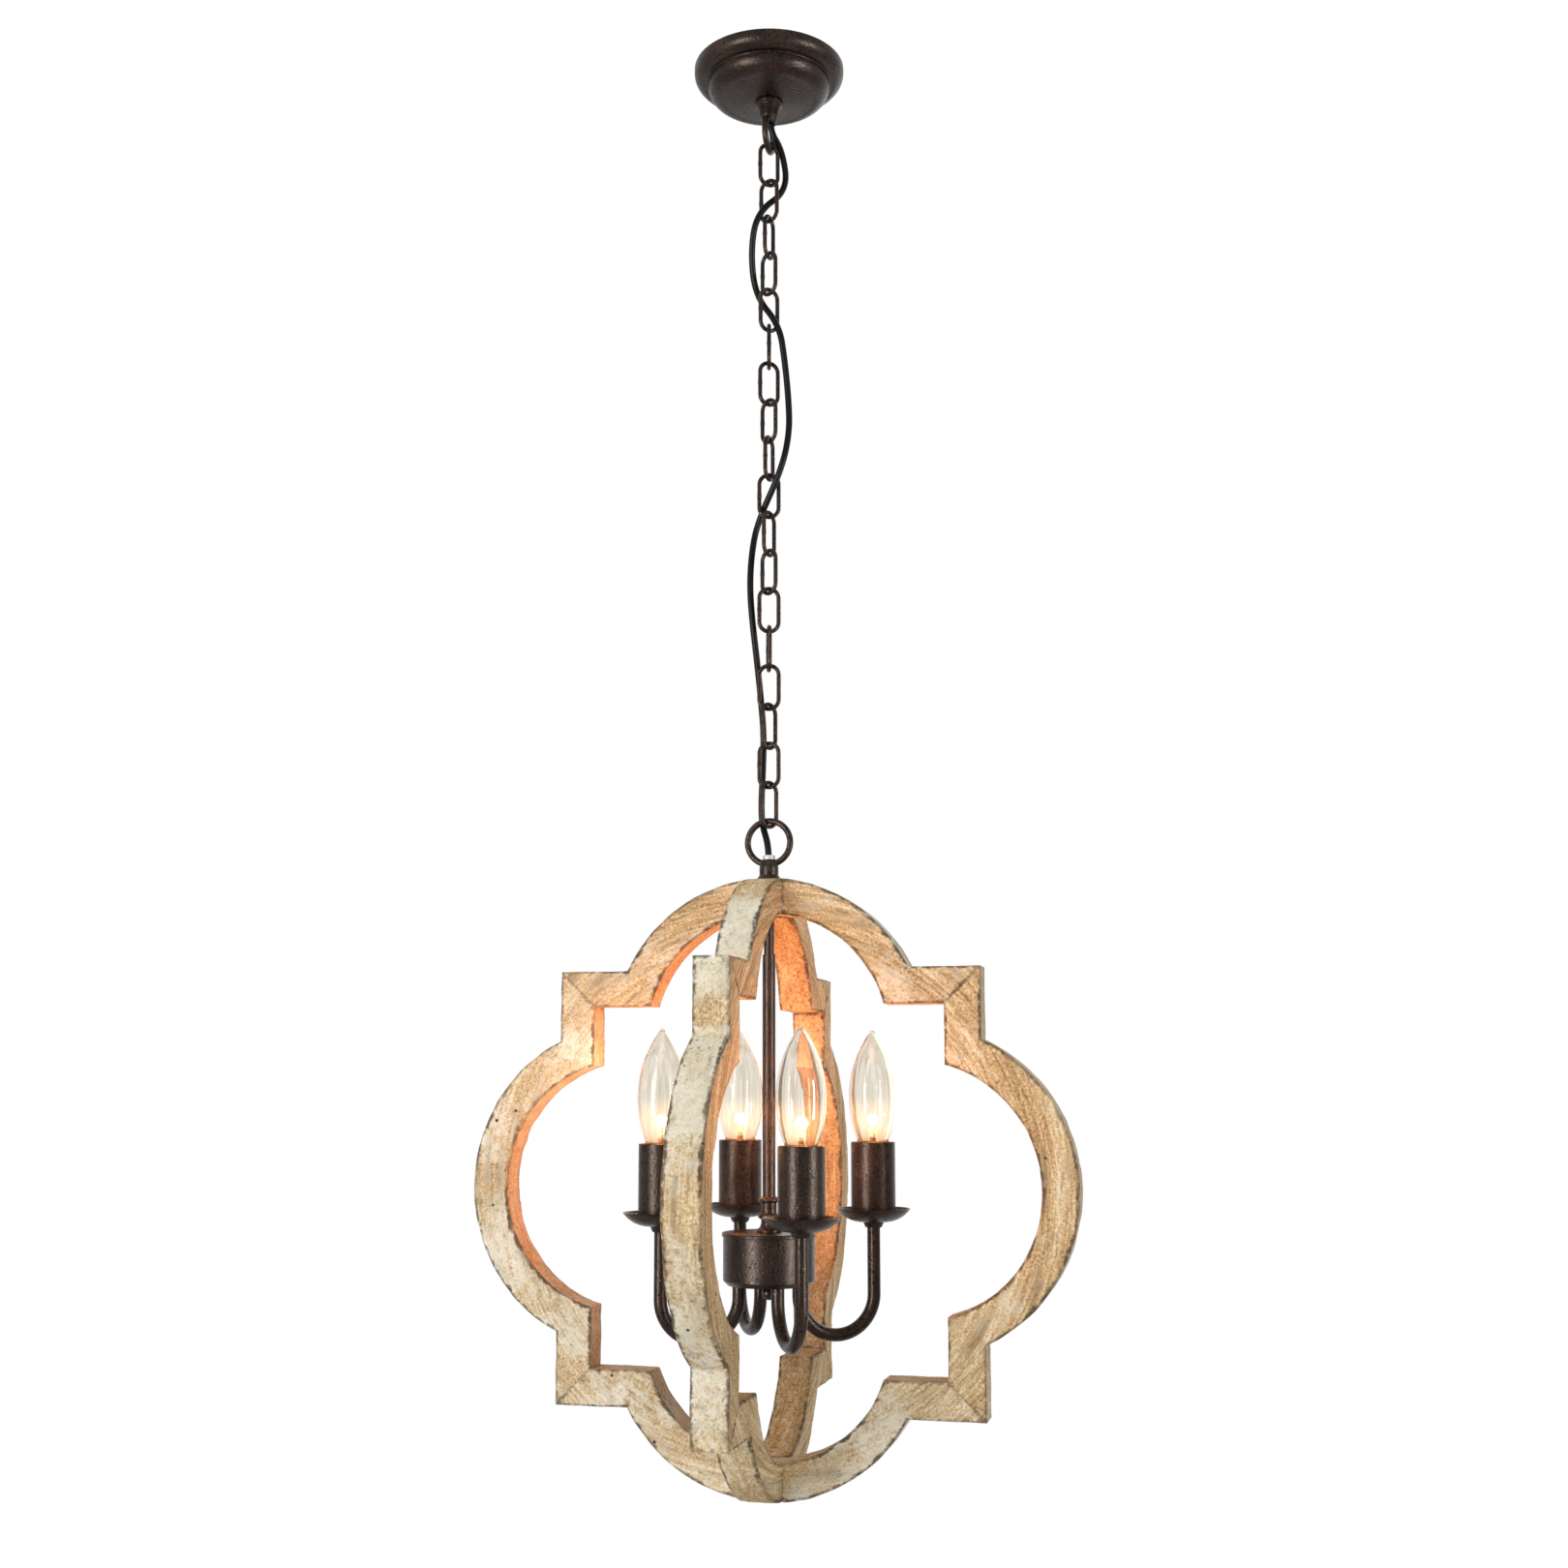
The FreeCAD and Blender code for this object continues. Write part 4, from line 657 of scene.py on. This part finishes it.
veiled = blend_colour(tree, value_ramp(tree, wash, 0.0, 1.0, 0.0, 0.5), stain, milk)
washed = blend_colour(tree, value_ramp(tree, wash_level, 0.58, 0.74, 0.0, 0.85), veiled, milk)
# Inner faces: most of the wash is left off, and a darker orange-brown is painted on as the shade
# inside the ring.
inner = value_ramp(tree, outward, -1.0, -0.6, 0.6, 0.0)
washed = blend_colour(tree, inner, washed, blend_colour(tree, 0.65, stain, hex_colour("#8C5829")))
stroke = value_ramp(tree, weighted((brush, 0.5), (mottle, 0.25), (crumb, 0.25)),
                    0.52, 0.61, 0.0, 0.68)
stroke = combine(tree, "MULTIPLY", stroke, value_ramp(tree, smudge, 0.42, 0.58, 0.25, 1.0))
streaked = blend_colour(tree, stroke, washed, hex_colour("#7C6849"))
worn_edge = weighted((edge, 1.0), (mottle, 7.0 * MM), (fibre, 3.0 * MM))
glaze = combine(tree, "MULTIPLY",
                value_ramp(tree, worn_edge, GLAZE_FULL * MM, GLAZE_GONE * MM, 0.9, 0.0),
                value_ramp(tree, patch, 0.38, 0.54, 0.5, 1.0))
glazed = blend_colour(tree, glaze, streaked, hex_colour("#4A3823"))
hole = add_node(tree, "ShaderNodeTexVoronoi", {}, {"Vector": place, "Scale": 62.0})
hole_kind = add_node(tree, "ShaderNodeSeparateColor", {}, {0: hole.outputs["Color"]}).outputs[0]
hole_here = combine(tree, "MULTIPLY",
                    value_ramp(tree, hole.outputs["Distance"], 0.06, 0.095, 1.0, 0.0),
                    value_ramp(tree, hole_kind, 0.66, 0.68))
speck = add_node(tree, "ShaderNodeTexVoronoi", {}, {"Vector": place, "Scale": 215.0})
speck_kind = add_node(tree, "ShaderNodeSeparateColor", {}, {0: speck.outputs["Color"]}).outputs[1]
speck_here = combine(tree, "MULTIPLY",
                     value_ramp(tree, speck.outputs["Distance"], 0.14, 0.3, 1.0, 0.0),
                     combine(tree, "MULTIPLY", value_ramp(tree, speck_kind, 0.62, 0.66),
                             value_ramp(tree, smudge, 0.5, 0.62, 0.08, 1.0)))
marks = combine(tree, "MAXIMUM", hole_here, combine(tree, "MULTIPLY", speck_here, 0.72))
finished = blend_colour(tree, marks, glazed, hex_colour("#2E251A"))
height = weighted((fibre, 0.5), (mottle, 0.5), (pore, -0.3), (marks, -0.8))
bump = add_node(tree, "ShaderNodeBump", {}, {
    "Strength": 0.75, "Distance": 0.6 * MM, "Height": height})
shader = add_node(tree, "ShaderNodeBsdfPrincipled", {}, {
    "Base Color": finished, "Specular IOR Level": 0.25,
    "Roughness": value_ramp(tree, mottle, 0.3, 0.7, 0.85, 0.66), "Normal": bump.outputs["Normal"]})
tree.links.new(shader.outputs[0], output.inputs["Surface"])

# Each piece with the wash left on its faces, and on its outer edge as (place along it, wash) from
# its lower or right end: rubbed thin in the hollow of the lobe and thick by the steps.
WOOD_PIECES = [
    ("a", "right", "XZ", 0, 0, 0.12, [(-161, 0.3), (161, 0.3)]),
    ("a", "top", "XZ", 1, 1, 0.24, [(-161, 0.5), (161, 0.5)]),
    ("a", "left", "XZ", 2, 0, 0.42, [(-161, 0.5), (161, 0.6)]),
    ("a", "bottom", "XZ", 3, 1, 0.42, [(-161, 0.4), (161, 0.5)]),
    ("b", "back", "YZ", 0, 0, 0.1, [(-161, 0.7), (-100, 0.4), (60, 0.3), (110, 0.9), (161, 0.6)]),
    ("b", "top", "YZ", 1, -1, 0.05, [(-161, 0.7), (-60, 0.6), (0, -0.3), (35, -0.1), (75, 0.7),
                                     (100, 1.1), (112, 0.3), (161, 0.4)]),
    ("b", "front", "YZ", 2, 0, 0.0, [(-161, 0.95), (-142, 0.8), (-130, 0.25), (-116, 0.0),
                                     (-109, 1.3), (-100, 0.8), (-55, 0.9), (-36, 0.35), (0, 0.15),
                                     (50, 0.45), (87, 0.5), (110, 0.3), (114, 1.1), (120, 0.55),
                                     (161, 0.4)]),
    ("b", "bottom", "YZ", 3, -1, 0.0, [(-161, 0.4), (-110, 0.3), (-60, 0.3), (0, 0.1), (161, 0.3)])]
for number, (side, spot, plane, quarter, lap, face_wash, edge_wash) in enumerate(WOOD_PIECES):
    board = lobe(f"board_{side}_{spot}", plane, quarter, lap, face_wash, edge_wash,
                 100 + 10 * number)
    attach(board, "fixture")
    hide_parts(f"frame_{side}_{spot}")

# Lap screw: a zinc plated countersunk screw 22 mm long that holds the lower lap from inside.
SCREW = [(0, 0, 0), (4.4, 0, 0.2), (2.2, -2.6, 0.4), (2.2, -21.0, 0.4), (0, -22.0, 0)]
screw_place = (0, 0, ORB_LEVEL - WOOD_REACH + WOOD_WIDTH + LOWER_RISE)
screw = piece("countersunk_screw", [turned(rounded(SCREW, False), screw_place, False, 24)], zinc)
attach(screw, "fixture")
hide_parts("lap_screw")

# Dowels across the mitres: plain beech, glued in and out of sight.
beech = two_tone_finish("Beech", 700.0, 3.0, "#C89A6A", "#DDB588", {"Roughness": 0.6})
finish_nodes(beech, "mitre_dowels")
finish_nodes(powder, "frame_nut", "stem_tube", "centre_rod")
finish_nodes(rubber, "rod_cable")

# Turned collar on the rod: steel with a flared foot on the hub, a waist and two beads.
SPINDLE_FOOT, SPINDLE_WAIST, SPINDLE_BORE = -920.0, 5.9, 5.0


def bead(level, height=2.1, reach=8.2):
    """Half a barrel: an arc from the waist out to its reach and back."""
    turn = np.linspace(-math.pi / 2, math.pi / 2, 13)
    return [(SPINDLE_WAIST + (reach - SPINDLE_WAIST) * math.cos(t) ** 0.8 if abs(t) < 1.57
             else SPINDLE_WAIST, level + height * math.sin(t)) for t in turn]


spindle_flare = rounded([
    (9.2, SPINDLE_FOOT, 0), (9.5, SPINDLE_FOOT + 0.3, 0), (9.5, SPINDLE_FOOT + 2.0, 0.6),
    (7.0, SPINDLE_FOOT + 3.2, 2.0), (SPINDLE_WAIST, SPINDLE_FOOT + 6.5, 0)], False)
spindle_outline = (
    [(SPINDLE_BORE, SPINDLE_FOOT)] + spindle_flare.tolist()
    + bead(SPINDLE_FOOT + 11.8) + bead(SPINDLE_FOOT + 23.6)
    + [(SPINDLE_WAIST, SPINDLE_FOOT + 25.9), (SPINDLE_BORE, SPINDLE_FOOT + 25.9)])
spindle = piece("spindle_turned", [turned(spindle_outline, sides=64)], powder)
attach(spindle, "fixture")
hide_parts("spindle_collar")

# Hub: a cup spun from steel 1.8 mm thick that holds the arms, and a turned lid whose spigot drops
# into it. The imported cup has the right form, with its arm holes, and takes the powder coat.
finish_nodes(powder, "hub_cup")
LID = [(5.0, -925.5, 0.2), (31.9, -925.5, 0.4), (31.9, -923.0, 0), (35.0, -923.0, 0.5),
       (35.0, -920.0, 1.0), (5.0, -920.0, 0.2)]
lid = piece("hub_lid_turned", [turned(rounded(LID), sides=96)], powder)
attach(lid, "fixture")
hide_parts("hub_lid")

# Finial: one turned piece of steel, a ball on a neck under a disc, screwed up into the rod.
BALL_MIDDLE, BALL_RADIUS, NECK = -964.0, 5.2, 3.2
ball_turn = np.linspace(-math.pi / 2, math.acos(NECK / BALL_RADIUS), 20)
ball = np.stack((BALL_RADIUS * np.cos(ball_turn), BALL_MIDDLE + BALL_RADIUS * np.sin(ball_turn)), 1)
ball[0, 0] = 0
stud = rounded([(NECK, -959.9, 0), (NECK, -959.8, 0), (8.5, -959.8, 0.6), (8.5, -958.2, 0.5),
                (3.9, -958.2, 0), (3.9, -946.2, 0.4), (0, -946.2, 0)], False)
finial_outline = np.concatenate((ball, stud))
finial = piece("finial_turned", [turned(finial_outline, closed=False, sides=48)], powder)
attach(finial, "fixture")
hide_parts("hub_finial")

# Arms: steel tube 9.7 mm thick, bent round half a circle, with a brazed collar under each pan.
finish_nodes(powder, *(f"arm_{number}" for number in range(1, 5)))

# Drip pans: saucers 56 mm wide spun from sheet steel 1.2 mm thick, clamped between the arm's
# collar and its nut. Each is flat in the middle and rises to its rim in an arc.
PAN_FLAT, PAN_ARC_LEVEL = 9.0, -3.95


def saucer_arc(radius, reach):
    """Arc over the end of the flat middle, from its foot out to the reach, as (radius, height)."""
    turn = np.linspace(0, math.asin((reach - PAN_FLAT) / radius), 15)
    return [(PAN_FLAT + radius * math.sin(t), PAN_ARC_LEVEL - radius * math.cos(t), 0)
            for t in turn]


PAN = ([(4.95, -27.0, 0.2)] + saucer_arc(23.05, 27.85) + [(28.0, -17.0, 0.35), (26.53, -17.0, 0.35)]
       + saucer_arc(21.85, 26.4)[::-1] + [(4.95, -25.8, 0.2)])
ARM_REACH, ARM_TURNS = 82.0, [30, 120, 210, 300]
STATIONS = [(ARM_REACH * math.cos(math.radians(turn)), ARM_REACH * math.sin(math.radians(turn)),
             ORB_LEVEL) for turn in ARM_TURNS]
for number, station in enumerate(STATIONS, start=1):
    pan = piece(f"pan_spun_{number}", [turned(rounded(PAN), station, sides=96)], powder)
    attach(pan, "fixture")
    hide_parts(f"drip_pan_{number}")

# Candle sleeves: steel tubes 33.5 mm wide in the same coat, slipped over the lamp holders.
SLEEVE = [(15.25, -24.28, 0.2), (16.75, -24.28, 0.3), (16.75, 32.5, 0.6), (15.25, 32.5, 0.5)]
for number, station in enumerate(STATIONS, start=1):
    sleeve = piece(f"sleeve_coated_{number}", [turned(rounded(SLEEVE), station, sides=80)], powder)
    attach(sleeve, "fixture")
    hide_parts(f"candle_sleeve_{number}")

# Lamp holders: shells moulded from black phenolic with a fine grain, inside the sleeves.
phenolic, tree, output = new_material("Moulded phenolic")
place = add_node(tree, "ShaderNodeTexCoord").outputs["Object"]
fine = add_node(tree, "ShaderNodeTexNoise", {}, {"Vector": place, "Scale": 650.0, "Detail": 2.0})
bump = add_node(tree, "ShaderNodeBump", {}, {"Strength": 0.3, "Distance": 0.1 * MM,
                                             "Height": fine.outputs["Fac"]})
shader = add_node(tree, "ShaderNodeBsdfPrincipled", {}, {
    "Base Color": colour_ramp(tree, fine.outputs["Fac"], [(0.35, "#141111"), (0.65, "#221D1B")]),
    "Roughness": 0.38, "Specular IOR Level": 0.4, "Normal": bump.outputs["Normal"]})
tree.links.new(shader.outputs[0], output.inputs["Surface"])
finish_nodes(phenolic, "lamp_holders")

# Bulb caps: medium screw caps of nickel plated brass 26 mm wide, with their thread rolled in at a
# pitch of 3.6 mm, a black glass insulator below and a tin contact in its middle.
CAP_LOW, CAP_CONE, CAP_TOP, CAP_WALL = 6.8, 10.6, 30.8, 0.35
THREAD_PITCH, THREAD_RADIUS, THREAD_SWING = 3.63, 12.4, 0.5


def thread_shell(station):
    """Thin screw shell: its radius swings about THREAD_RADIUS with height over the pitch less
    angle, as a rolled thread does, and the swing fades out at both ends."""
    level = np.linspace(CAP_CONE, CAP_TOP, 84)
    angle = np.linspace(0, 2 * math.pi, 72, endpoint=False)
    fade = (np.clip((level - CAP_CONE) / 2.5, 0, 1)
            * np.clip((CAP_TOP - 1.5 - level) / 3, 0, 1))[:, None]
    wave = np.cos(2 * math.pi * level[:, None] / THREAD_PITCH - angle[None, :])
    outer = THREAD_RADIUS + THREAD_SWING * fade * wave
    radius = np.concatenate((outer, outer[::-1] - CAP_WALL))
    height = np.concatenate((level, level[::-1]))[:, None]
    points = np.stack((radius * np.cos(angle), radius * np.sin(angle),
                       np.broadcast_to(height, radius.shape)), axis=-1)
    return (points + np.array(station)).reshape(-1, 3), grid_faces(len(radius), 72, True, True)


nickel = two_tone_finish("Nickel plated brass", 240.0, 3.0, "#B7B2A6", "#D3CFC4",
                         {"Metallic": 1.0, "Roughness": 0.27})
black_glass = two_tone_finish("Black insulating glass", 300.0, 2.0, "#0D0D10", "#17171A",
                              {"Roughness": 0.12})
INSULATOR = [(0, 7.4, 0), (3.0, 7.4, 0), (4.4, 7.1, 0.3), (12.0, CAP_CONE - 0.2, 0.4),
             (12.0, CAP_CONE + 0.6, 0.2), (0, CAP_CONE + 0.6, 0)]
CONTACT = [(0, CAP_LOW, 0), (3.0, CAP_LOW, 0.6), (3.6, 7.5, 0.2), (0, 7.5, 0)]
for number, station in enumerate(STATIONS, start=1):
    for name, shell, material in (
            ("thread", thread_shell(station), nickel),
            ("insulator", turned(rounded(INSULATOR, False), station, False, 48), black_glass),
            ("contact", turned(rounded(CONTACT, False), station, False, 32), nickel)):
        made = piece(f"cap_{name}_{number}", [shell], material)
        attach(made, f"bulb_{number}")
        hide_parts(f"bulb_cap_{number}")

# Bulb glass: clear, blown 0.9 mm thick, 36 mm wide, drawn to a blunt tip like a flame. Warm light
# from the filament is painted into it, and its edges are painted grey as shade against the white
# wall.
GLASS_NECK, GLASS_WIDE, GLASS_TIP, GLASS_WALL = (11.5, 27.4), (18.0, 65.5), (2.2, 114.6), 0.9
GLASS_MOUTH, GLASS_TOP, TIP_HOLLOW = 32.5, 116.5, 0.7
WARM_FOOT, WARM_HEAD, WARM_FADE, WARM_END = [(ORB_LEVEL + rise) * MM for rise in (28, 46, 48, 70)]


def bulb_outline():
    """Outside and inside of the glass, up and back down: a straight neck, an arc that leaves it
    for the widest ring, an arc from there to the tip and a small cap, each arc upright where it
    meets the widest ring."""
    neck, wide, tip = GLASS_NECK[0], GLASS_WIDE[0], GLASS_TIP[0]
    lower_rise, lower_swell = GLASS_WIDE[1] - GLASS_MOUTH, wide - neck
    upper_rise, upper_swell = GLASS_TIP[1] - GLASS_WIDE[1], wide - tip
    lower = (lower_rise ** 2 + lower_swell ** 2) / (2 * lower_swell)
    upper = (upper_rise ** 2 + upper_swell ** 2) / (2 * upper_swell)
    below = np.linspace(GLASS_MOUTH, GLASS_WIDE[1], 26)
    above = np.linspace(GLASS_WIDE[1], GLASS_TIP[1], 44)[1:]
    profile = [(neck, z) for z in (GLASS_NECK[1], 28.5, 30.0, 31.5)]
    profile += [(wide - lower + math.sqrt(lower ** 2 - (GLASS_WIDE[1] - z) ** 2), z) for z in below]
    profile += [(wide - upper + math.sqrt(upper ** 2 - (z - GLASS_WIDE[1]) ** 2), z) for z in above]
    cap = [(tip * math.cos(t), GLASS_TIP[1] + (GLASS_TOP - GLASS_TIP[1]) * math.sin(t))
           for t in np.linspace(0, math.pi / 2, 7)[1:]]
    cap[-1] = (0, GLASS_TOP)
    inside = [(radius - GLASS_WALL, z) for radius, z in profile]
    return profile + cap + [(0, GLASS_TIP[1] + TIP_HOLLOW)] + inside[::-1]


glass, tree, output = new_material("Clear blown glass")
# Clear glass: pale seen square on, with painted shade turning it grey-brown towards the edges,
# faint upright draw lines, painted warm light making it amber by the sleeve and a painted glow
# round the filament.
# Painted shade: the colour turns grey-brown as the glass turns edge-on to the eye.
facing = add_node(tree, "ShaderNodeLayerWeight", {}, {"Blend": 0.3})
glass_tone_and_painted_light = colour_ramp(tree, facing.outputs["Facing"], [
    (0.0, "#F4F1EA"), (0.35, "#EFE9DF"), (0.7, "#DDD2C2"), (0.93, "#A08E78"), (1.0, "#5E4C3A")])
place = add_node(tree, "ShaderNodeTexCoord").outputs["Object"]
drawn = add_node(tree, "ShaderNodeMapping", {}, {"Vector": place, "Scale": (240.0, 240.0, 6.0)})
draw_line = add_node(tree, "ShaderNodeTexNoise", {}, {"Vector": drawn.outputs[0], "Scale": 1.0,
                                                      "Detail": 1.0}).outputs["Fac"]
glass_tone_and_painted_light = blend_colour(tree, value_ramp(tree, draw_line, 0.5, 0.64, 0.0, 0.35), glass_tone_and_painted_light,
                    hex_colour("#D3C4AB"))
level = add_node(tree, "ShaderNodeSeparateXYZ", {}, {0: place}).outputs["Z"]
# Painted warm light: the lower glass, by the sleeve, is tinted amber.
painted_warm_light = value_ramp(tree, level, WARM_FOOT, WARM_HEAD, 0.5, 0.0)
glass_tone_and_painted_light = blend_colour(tree, painted_warm_light, glass_tone_and_painted_light, hex_colour("#F7CE92"))
# Painted glow: a band of the glass round the filament's height glows warm, most where it is seen
# square on.
painted_glow_band = combine(tree, "MULTIPLY", value_ramp(tree, level, WARM_FOOT, WARM_HEAD),
                    value_ramp(tree, level, WARM_FADE, WARM_END, 1.0, 0.0))
bump = add_node(tree, "ShaderNodeBump", {}, {"Strength": 0.12, "Distance": 0.4 * MM,
                                             "Height": draw_line})
shader = add_node(tree, "ShaderNodeBsdfPrincipled", {}, {
    "Base Color": glass_tone_and_painted_light, "Roughness": 0.0, "IOR": 1.48, "Transmission Weight": 1.0,
    "Normal": bump.outputs["Normal"]})
painted_glow = add_node(tree, "ShaderNodeEmission", {}, {
    "Color": hex_colour("#FFC67A"), "Strength": combine(tree, "MULTIPLY", painted_glow_band, value_ramp(
        tree, facing.outputs["Facing"], 0.1, 0.6, 0.13, 0.0))})
both = add_node(tree, "ShaderNodeAddShader", {}, {0: shader.outputs[0], 1: painted_glow.outputs[0]})
tree.links.new(both.outputs[0], output.inputs["Surface"])
for number, station in enumerate(STATIONS, start=1):
    bulb = piece(f"glass_blown_{number}", [turned(bulb_outline(), station, sides=72)], glass)
    bulb.visible_shadow = False
    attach(bulb, f"bulb_{number}")
    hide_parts(f"bulb_glass_{number}")

# Glass mount and filament: a pressed glass foot carries two nickel wires, and a coil of tungsten
# hangs between them and glows, 6 mm lower than in the CAD part, as the photo shows it. A small
# warm lamp at each coil gives the light it would give.
MOUNT = [(0, 27.4, 0), (10.2, 27.4, 0.3), (10.2, 28.6, 0.4), (4.4, 29.8, 1.2), (2.6, 33.0, 3.0),
         (1.8, 38.4, 0.6), (0, 38.4, 0)]
COIL_LEVEL, COIL_HALF, COIL_RADIUS, COIL_TURNS, COIL_SAG = 48.0, 5.5, 0.62, 13, 0.8
COIL_WIRE, SUPPORT_WIRE = 0.22, 0.3
SUPPORT_FOOT, SUPPORT_BEND = (0.9, 36.0), (1.4, 40.5)
pressed, tree, output = new_material("Pressed lead glass")
shader = add_node(tree, "ShaderNodeBsdfPrincipled", {}, {
    "Base Color": hex_colour("#F3EFE6"), "Roughness": 0.06, "IOR": 1.52,
    "Transmission Weight": 1.0})
tree.links.new(shader.outputs[0], output.inputs["Surface"])
tungsten, tree, output = new_material("Glowing tungsten")
place = add_node(tree, "ShaderNodeTexCoord").outputs["Object"]
heat = add_node(tree, "ShaderNodeTexNoise", {}, {"Vector": place, "Scale": 900.0, "Detail": 1.0})
glow = add_node(tree, "ShaderNodeEmission", {}, {
    "Color": colour_ramp(tree, heat.outputs["Fac"], [(0.3, "#FFB45A"), (0.7, "#FFD08A")]),
    "Strength": 40.0})
tree.links.new(glow.outputs[0], output.inputs["Surface"])
for number, station in enumerate(STATIONS, start=1):
    turn = math.radians(ARM_TURNS[number - 1])
    out = np.array((math.cos(turn), math.sin(turn), 0))
    side = np.array((-math.sin(turn), math.cos(turn), 0))
    middle = np.array(station)
    wires = []
    for sign in (1, -1):
        low = middle + side * SUPPORT_FOOT[0] * sign + (0, 0, SUPPORT_FOOT[1])
        bend = middle + side * SUPPORT_BEND[0] * sign + (0, 0, SUPPORT_BEND[1])
        high = middle + side * COIL_HALF * sign + (0, 0, COIL_LEVEL)
        share = np.linspace(0, 1, 9)[:, None]
        curve = (1 - share) ** 2 * low + 2 * share * (1 - share) * bend + share ** 2 * high
        wires.append(tube(curve, SUPPORT_WIRE, sides=8))
    angle = np.linspace(0, 2 * math.pi * COIL_TURNS, COIL_TURNS * 12 + 1)
    along = np.linspace(-COIL_HALF, COIL_HALF, len(angle)) * 0.94
    sag = -COIL_SAG * (1 - (along / COIL_HALF) ** 2)
    coil_path = (middle + along[:, None] * side + (COIL_RADIUS * np.cos(angle))[:, None] * out)
    coil_path[:, 2] += COIL_LEVEL + sag + COIL_RADIUS * np.sin(angle)
    for name, shells, material in (
            ("mount", [turned(rounded(MOUNT, False), station, False, 40)], pressed),
            ("support", wires, nickel),
            ("coil", [tube(coil_path, COIL_WIRE, sides=6)], tungsten)):
        made = piece(f"{name}_{number}", shells, material)
        made.visible_shadow = False
        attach(made, f"bulb_{number}")
        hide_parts(f"bulb_filament_{number}")
    lamp = bpy.data.lights.new(f"filament_light_{number}", "POINT")
    lamp.energy, lamp.shadow_soft_size = 0.38, 4.5 * MM
    lamp.color = hex_colour("#FF9A4A")[:3]
    made = bpy.data.objects.new(lamp.name, lamp)
    made.location = (middle + (0, 0, COIL_LEVEL + 1)) * MM
    bpy.context.scene.collection.objects.link(made)
